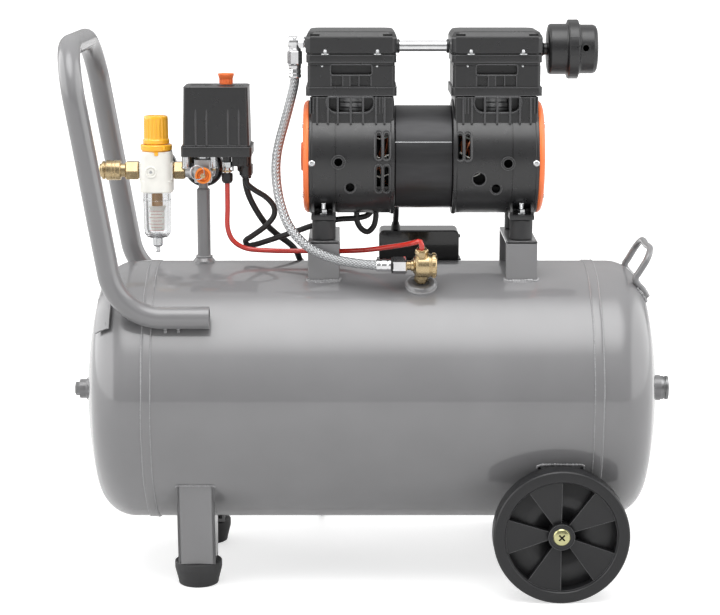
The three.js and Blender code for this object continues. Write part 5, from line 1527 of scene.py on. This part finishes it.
# ---------------------------------------------------------------- filter regulator and coupler
def regulator():
    rows = ((18.6, 17.2, 9, 458.4), (19.4, 17.9, 9, 459.4), (19.5, 18, 9, 472), (18.6, 17.4, 8.6, 473.2),
            (18.6, 17.4, 8.6, 500), (18.2, 17, 8.4, 506), (17.6, 16.4, 8.4, 507.3))
    outline = [(rounded_rect(REG_X + 0.2, 0, *row[:3]), row[3]) for row in rows]
    port_x, port_z = REG_X - 5.6, AIR_Z - 0.6
    hollow = [bar("z", 5.6, 490, 520, REG_X, 0, 36, 0), bar("y", 5.2, -20, -16.9, port_x, port_z, 36, 0)]
    piece("regulator_casting", [loft(outline)], WHITE, "regulator_body", cut=hollow)
    ports = [soft_block(REG_X - 16.4, 0, 3.3, 12.6, 473, 494, 2, 0.8),
             soft_block(REG_X + 17, 0, 3.0, 12.6, 473, 494, 2, 0.8)]
    ports += [ring("x", 9.6, 6.4, *sorted((REG_X + s * 17, REG_X + s * 19.7)), 0, AIR_Z, 48, 0.5)
              for s in BOTH]
    ports += [ring("y", 7.2, 5.1, -18.3, -16.6, port_x, port_z, 48, 0.6),
              bar("y", 4.2, -17.6, -16, port_x, port_z, 40, 0.4)]
    piece("regulator_ports", ports, WHITE)
    piece("regulator_port_socket", [bar("y", 1.9, -17.9, -17, port_x, port_z, 6, 0.1)], CAST)
    collar = fillet([(6, 505.2), (16.6, 505.2), (17, 508), (18.9, 509), (18.9, 514.2), (17.6, 515.4),
                     (6, 515.4)], 0.7, 3, True)
    tab = [box(REG_X - 1, REG_X + 3.6, -18.4, -16.2, 502.8, 507.4, 0.8),
           box(REG_X + 9, REG_X + 12, -19.2, -10, 509.4, 514, 0.6)]
    piece("regulator_lock_ring", [lathe("z", collar, REG_X, 0, 72, True), *tab], AMBER)
    piece("regulator_screw", [bar("z", 5, 491, 543, REG_X, 0, 40, 0.6),
                              *threads("z", 5, 494, 512, 1.25, REG_X, 0)], BRASS, "regulator_spindle",
          "regulator_spindle")


def regulator_knob():
    rows = [(516, 15.2, 0), (517, 15.8, 0), (520.6, 15.7, 0), (522, 14.7, 0.3), (523.2, 14.6, 1),
            (543.4, 14.4, 1), (545.4, 14.4, 0.5), (546.4, 14.3, 0), (548.6, 13.9, 0), (549.2, 13.0, 0)]
    count, sides = 18, 8
    sections = []
    for z, radius, depth in rows:
        outline = []
        for i in range(count * sides):
            phase = i % sides
            dip = 0.85 * depth if phase in (0, 1, 7) else 0.3 * depth if phase in (2, 6) else 0
            turn = 2 * math.pi * i / (count * sides)
            outline.append((REG_X + (radius - dip) * math.cos(turn), (radius - dip) * math.sin(turn)))
        sections.append((outline, z))
    piece("regulator_knob_grip", [loft(sections), torus("z", 9.4, 0.5, 549.0, REG_X, 0, 56)], AMBER,
          "regulator_knob", "regulator_knob", cut=[bar("z", 5.1, 514, 543.2, REG_X, 0, 32, 0)])


def filter_bowl():
    top = 458.1
    bowl = fillet([(4, 403), (9, 403), (13, 404.4), (15.4, 408), (16.2, 414), (16.6, 440), (16.7, 448),
                   (16.7, top), (14.4, top), (14.4, 448), (14.2, 414), (13, 408.6), (10.5, 406.4),
                   (4, 405.8)], 1.2, 4, True)
    ribs = [bar("z", 0.6, 449.4, 457.6, REG_X + 16.9 * math.cos(t), 16.9 * math.sin(t), 12, 0.3)
            for t in (-2.6, -0.55, 0.6, 2.5)]
    piece("filter_bowl_shell", [lathe("z", bowl, REG_X, 0, 72, True)], CLEAR, "filter_bowl")
    piece("filter_bowl_ribs", [*ribs, torus("z", 16.5, 0.5, 448.6, REG_X, 0, 64)], CLEAR)
    element = [ring("z", 6.6, 3, 441, 457.4, REG_X, 0, 48, 0.5)]
    piece("filter_element", element, SINTER)
    baffle = fillet([(2, 412), (7.4, 412), (8.2, 414), (8.6, 436), (10.6, 440.6), (10.6, 441.6), (2, 441.6)],
                    0.6, 2, True)
    piece("filter_baffle", [lathe("z", baffle, REG_X, 0, 48, True),
                            bar("z", 9.6, 457, 458.2, REG_X, 0, 48, 0.3)], WHITE)
    marks = []
    for i in range(7):
        reach = 26 if i % 2 else 36
        turns = [math.radians(-90 + degrees) for degrees in range(-reach, reach + 1, 4)]
        arc = [(REG_X + 14.1 * math.cos(a), 14.1 * math.sin(a), 413 + 3.9 * i) for a in turns]
        marks.append(tube(arc, 0.22, 6))
    piece("filter_bowl_scale", marks, RED)
    drain = fillet([(0, 385), (2.7, 385), (3.1, 386), (3.1, 387.2), (2.4, 388), (2.4, 391.4), (4.8, 392.4),
                    (6.2, 394.4), (6.4, 398), (6.4, 402.7), (3.6, 402.7), (3.6, 409), (0, 409)], 0.3)
    piece("bowl_drain_screw", [lathe("z", drain, REG_X, 0, 40),
                               fluted("z", 6.6, 396, 401.6, 20, 0.5, REG_X, 0)], ZINC, "bowl_drain",
          "bowl_drain")


def coupler():
    hexes = [hexagon("x", 24, -294, -277.6, 0, AIR_Z, 0)]
    profile = [(5.2, -325), (7.2, -325), (8, -324), (8, -293), (5.2, -293)]
    body = turning("x", profile, 0.4, 0, AIR_Z, 48, True)
    end = [bar("x", 5.1, -303, -300, 0, AIR_Z, 32, 0.2)]
    piece("coupler_stem", [*hexes, body, *end], BRASS, "coupler_body")
    piece("coupler_seal", [torus("x", 7.6, 1.0, -276.9, 0, AIR_Z), torus("x", 4.8, 0.7, -322, 0, AIR_Z, 32)],
          RUBBER)
    profile = [(8.4, -322), (10.4, -322), (11, -321.4), (11, -319), (9.8, -318.4), (9.8, -317.4),
               (11.9, -316.8), (11.9, -310.4), (11.5, -310.1), (11.5, -309.5), (11.9, -309.2), (11.9, -306.6),
               (11.5, -306.3), (11.5, -305.7), (11.9, -305.4), (11.9, -300.4), (11.2, -299.6), (8.4, -299.6)]
    sleeve = [turning("x", profile, 0.25, 0, AIR_Z, 96, True)]
    piece("coupler_sleeve_grip", sleeve, BRASS, "coupler_sleeve", "coupler_sleeve")


# ---------------------------------------------------------------- check valve, hose and unloader tube
def check_valve():
    x, base = OUTLET_X, TANK_R + 6.3

    def set_on_tank(shells):
        return [shifted(turned(s, "x", OUTLET_LEAN), (0, 0, TANK_Z)) for s in shells]

    body = fillet([(0, base + 6), (8, base + 6), (8, base + 12), (9.6, base + 14), (10.5, base + 18),
                   (10.5, base + 30), (9, base + 33.4), (6.5, base + 34.4), (6.5, base + 40), (0, base + 40)],
                  1.2)
    cross = fillet([(0, x - 9), (8, x - 9), (13, x - 6.6), (14, x - 4), (14.2, x + 9), (13.2, x + 10),
                    (13.2, x + 11.4), (14.2, x + 12), (14.2, x + 16), (13, x + 17.6), (9.6, x + 18),
                    (9.2, x + 17), (0, x + 16.6)], 0.9)
    spigot = fillet([(0, x - 17.4), (5.4, x - 17.4), (5.4, x - 13), (6.6, x - 12), (6.6, x - 9), (0, x - 9)],
                    0.4)
    teeth = [shifted(turned(box(x + 12.6, x + 16.4, -1.2, 1.2, 13.0, 14.8, 0.5), "x", 360 * i / 16),
                     (0, 0, base + 23)) for i in range(16)]
    shells = [lathe("z", body, x, 0, 64), lathe("x", cross, 0, base + 23, 64),
              lathe("x", spigot, 0, base + 23, 40), hexagon("z", 16, base, base + 7, x, 0),
              hexagon("z", 15.4, base + 39, base + 46, x, 0),
              ring("z", 5.0, 3.1, base + 45.5, base + 47, x, 0, 32, 0.4)]
    piece("check_valve_casting", set_on_tank(shells + teeth), BRASS, "check_valve")
    rings = threads("x", 5.5, x - 17.4, x - 13, 1.2, 0, base + 23)
    rings += threads("z", 6.5, base + 35, base + 39, 1.2, x, 0)
    piece("check_valve_threads", set_on_tank(rings), BRASS)


def over_outlet(off):
    """(y, z) of a point on the leaning check valve's own axis, off the tank's skin."""
    reach, lean = TANK_R + off, math.radians(OUTLET_LEAN)
    return -reach * math.sin(lean), TANK_Z + reach * math.cos(lean)


def delivery_hose():
    x, y = HOSE_X, HOSE_Y
    port_y, port_z = over_outlet(29.3)
    route = smooth_path([(x, y, 612), (x, y, 598), (-91.2, -25, 590), (-94, -26, 576.9), (-98.5, -28.5, 559),
                         (-103.5, -31, 541), (-108.5, -34, 523), (-111.8, -37, 507), (-113, -41, 490),
                         (-111.6, -46, 470.5), (-107.2, -53, 449.5), (-96.8, -62, 424.5), (-76.5, -70, 403.2),
                         (-46, -75, 389), (-15, -79, 383.5), (8, port_y + 1, port_z), (26, port_y, port_z)],
                        3)
    rows = evened(route, BRAID_STEP)
    woven = tube(rows, 5.55, 48, swell=lambda i, turn: 0.92 + 0.08 * braid_height(i, turn))
    hose = piece("delivery_hose_braid", [woven], BRAID, "delivery_hose", sharp=80)
    tube_uv(hose, rows, 48)
    crimp = [(5.2, 596), (6.4, 595.8), (7.4, 596.6), (7.6, 598), (7.2, 600), (6.9, 601), (7.4, 602),
             (7.2, 605), (6.8, 606.4), (7.4, 607.6), (7.4, 611), (6.6, 612.4), (5.2, 612.4)]
    stem = [(0, 627), (7.2, 627), (7.4, 629.4), (6.4, 630.4), (6.4, 634), (0, 634)]
    arm = [(0, -98), (6.2, -98), (7, -97), (7, -88), (6.4, -87), (6.4, -84), (0, -84)]
    crown = [(0, 628.5), (6.8, 628.5), (6.8, 640), (5.4, 643.6), (0, 644.2)]
    top = [turning("z", crimp, 0.5, x, y, 48, True), hexagon("z", 17.6, 611.6, 627.6, x, y, 0),
           turning("z", stem, 0.5, x, y, 40)]
    knuckle = [turning("x", arm, 0.8, y, ELBOW_Z, 40), turning("z", crown, 1.4, x, y, 40),
               hexagon("x", 15.4, -86.6, -79.4, y, ELBOW_Z, 0),
               bar("x", 5.6, -80, -77.6, y, ELBOW_Z, 32, 0.3)]
    fitting_top = piece("delivery_elbow", top + knuckle, CHROME)
    seals = [torus("z", 6.9, 0.7, 610.9, x, y), torus("x", 6.2, 0.6, -78.4, y, ELBOW_Z)]
    piece("delivery_seals", seals, RUBBER)
    low_crimp = [(5.2, 4.6), (6.4, 4.4), (7.3, 5.2), (7.5, 7), (7.1, 9), (6.9, 10), (7.4, 11), (7.4, 17),
                 (6.9, 18), (7.4, 19), (7.4, 21.6), (6.4, 23), (5.2, 23)]
    low = [turning("x", low_crimp, 0.5, port_y, port_z, 48, True),
           hexagon("x", 20.8, 23.6, 40.2, port_y, port_z, 30)]
    fitting_low = piece("delivery_nut", low, CHROME)
    piece("delivery_nut_seal", [torus("x", 6.9, 0.9, 23.3, port_y, port_z),
                                ring("x", 9.4, 5, 22.6, 23.6, port_y, port_z, 40, 0.3)], RUBBER)
    return hose, route, HOSE_R, (fitting_top, fitting_low)


def unloader_tube():
    u, v = UNLOADER_X, UNLOADER_Y
    top_y, top_z = over_outlet(52.6)
    line = smooth_path([(u, -10, 476), (u, -10, 468), (u, -10, 440), (u, -10, 415), (-166.5, -9.5, 401),
                        (-152.5, -9, 391.5), (-121, -8, 388), (-80, -7.5, 387.5), (-40, -9, 387.5),
                        (-8, -24, 391.1), (17.4, -48, 398), (38.4, -76, 405.5), (49, -90, 410),
                        (55.5, -96.5, 412), (57.5, top_y - 1.5, top_z + 3.2), (57.5, top_y, top_z)], 3)
    unloader = piece("unloader_line", [tube(line, UNLOADER_R, 24)], RED, "unloader_tube")
    lower = turning("z", [(3.1, 469.6), (4.8, 470), (6.4, 472.6), (6.4, 482), (3.1, 482)], 0.5, u, v, 6, True)
    nut = piece("unloader_nut", [lower, hexagon("z", 13.4, 473, 482, u, v)], DARK)
    upper = piece("unloader_fitting", [bar("z", 3.9, 481, 489, u, v, 28, 0.3),
                                       hexagon("z", 12, 488, 495.6, u, v, 15)], ZINC)
    socket = piece("unloader_socket", [bar("z", 5.4, 495.8, 502.8, u, v, 36, 0.5)], BLACK)
    brass_ring = piece("unloader_ring", [ring("z", 6.2, 3.2, 483.4, 485.2, u, v, 40, 0.4)], BRASS)
    return unloader, line, UNLOADER_R, (nut, upper, brass_ring, socket)


drain_valve()
running_works()
manifold()
switch_base()
switch_cover()
gauge("tank_gauge", POST_X - 2, 483, 24, 12.3, 36, 24, 52.4, 17)
regulator()
regulator_knob()
filter_bowl()
gauge("regulator_gauge", REG_X, AIR_Z, 21.5, 18.3, 25, 20, 37.4, 14.5)
coupler()
check_valve()
capacitor_box()
for line, path, radius, extras in (*leads(), delivery_hose(), unloader_tube()):
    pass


# ---------------------------------------------------------------- floor and light
WORLD_BASE, WORLD_TOP, WORLD_BACK = 0.17, 0.66, 0.2
TOP_PANEL, LEFT_PANEL, RIGHT_PANEL = 3.0, 2.0, 1.6
FLOOR_WHITE, FLOOR_GLOW, FLOOR_MIRRORED, FLOOR_IN_GLOSS = 0.6, 0.6, 0.7, 0.78


def area_light(name, at, target, power, size_x, size_y):
    """A soft lamp that lights the object but isn't mirrored in it; the studio's own glow is."""
    data = bpy.data.lights.new(name, "AREA")
    data.energy, data.shape, data.size, data.size_y = power, "RECTANGLE", size_x, size_y
    light = bpy.data.objects.new(name, data)
    collection.objects.link(light)
    light.location = at
    light.visible_glossy = False
    light.rotation_euler = (Vector(target) - Vector(at)).to_track_quat("-Z", "Y").to_euler()


def studio_world():
    """White paper to the eye. As a light: dim in front, brighter behind, soft panels above and beside."""
    world = bpy.data.worlds.new("studio")
    bpy.context.scene.world = world
    world.use_nodes = True
    nodes, links = world.node_tree.nodes, world.node_tree.links

    def work(operation, first, second):
        return math_node(nodes, links, operation, first, second)

    split = nodes.new("ShaderNodeSeparateXYZ")
    links.new(nodes.new("ShaderNodeTexCoord").outputs["Generated"], split.inputs["Vector"])
    across, onward, up = (split.outputs[k] for k in "XYZ")

    def panel(value, start, end, strength):
        soft = nodes.new("ShaderNodeMapRange")
        soft.interpolation_type = "SMOOTHSTEP"
        links.new(value, soft.inputs["Value"])
        for key, number in (("From Min", start), ("From Max", end), ("To Min", 0.0), ("To Max", strength)):
            soft.inputs[key].default_value = number
        return soft.outputs["Result"]

    overhead = work("MULTIPLY", work("MAXIMUM", up, 0.0), WORLD_TOP)
    behind = work("MULTIPLY", work("MAXIMUM", onward, 0.0), WORLD_BACK)
    toward_panel = work("SUBTRACT", work("MULTIPLY", up, 0.94), work("MULTIPLY", onward, 0.34))
    panels = work("ADD", panel(toward_panel, 0.84, 1.0, TOP_PANEL),
                  work("ADD", panel(across, -0.62, -0.74, LEFT_PANEL),
                       panel(across, 0.62, 0.76, RIGHT_PANEL)))
    light = work("ADD", work("ADD", overhead, behind), work("ADD", panels, WORLD_BASE))
    eye = nodes.new("ShaderNodeLightPath")
    seen = work("MAXIMUM", eye.outputs["Is Camera Ray"], eye.outputs["Is Transmission Ray"])
    links.new(work("MAXIMUM", light, seen), nodes["Background"].inputs["Strength"])
    nodes["Background"].inputs["Color"].default_value = (1, 1, 1, 1)


def studio_floor():
    size = 60000
    sheet = [(-size, -size, 0), (size, -size, 0), (size, size, 0), (-size, size, 0)]
    floor = object_from("floor", [(sheet, [[0, 1, 2, 3]])])
    paper = Look("floor_paper", (FLOOR_WHITE,) * 3, 0.7, Emission_Color=(1, 1, 1, 1))
    paper.rough(paper.noise(400, 2), 0.65, 0.75)
    path = paper.add("ShaderNodeLightPath")
    paper.tint(path.outputs["Is Glossy Ray"], 1.0, FLOOR_IN_GLOSS)
    mirrored_part = paper.math("MULTIPLY", path.outputs["Is Glossy Ray"], FLOOR_MIRRORED)
    seen = paper.math("SUBTRACT", 1.0, paper.math("ADD", path.outputs["Is Diffuse Ray"], mirrored_part))
    glow = paper.math("MULTIPLY", seen, FLOOR_GLOW)
    paper.links.new(glow, paper.shader.inputs["Emission Strength"])
    floor.data.materials.append(paper.material)


studio_world()
studio_floor()
area_light("top_light", (0.0, -0.68, 2.4), (0, -0.3, 0.3), 32, 3.0, 1.4)
area_light("back_light", (0.0, 2.4, 1.6), (0, 0, 0.4), 9, 2.2, 0.8)
bpy.context.scene.view_settings.view_transform = "Standard"
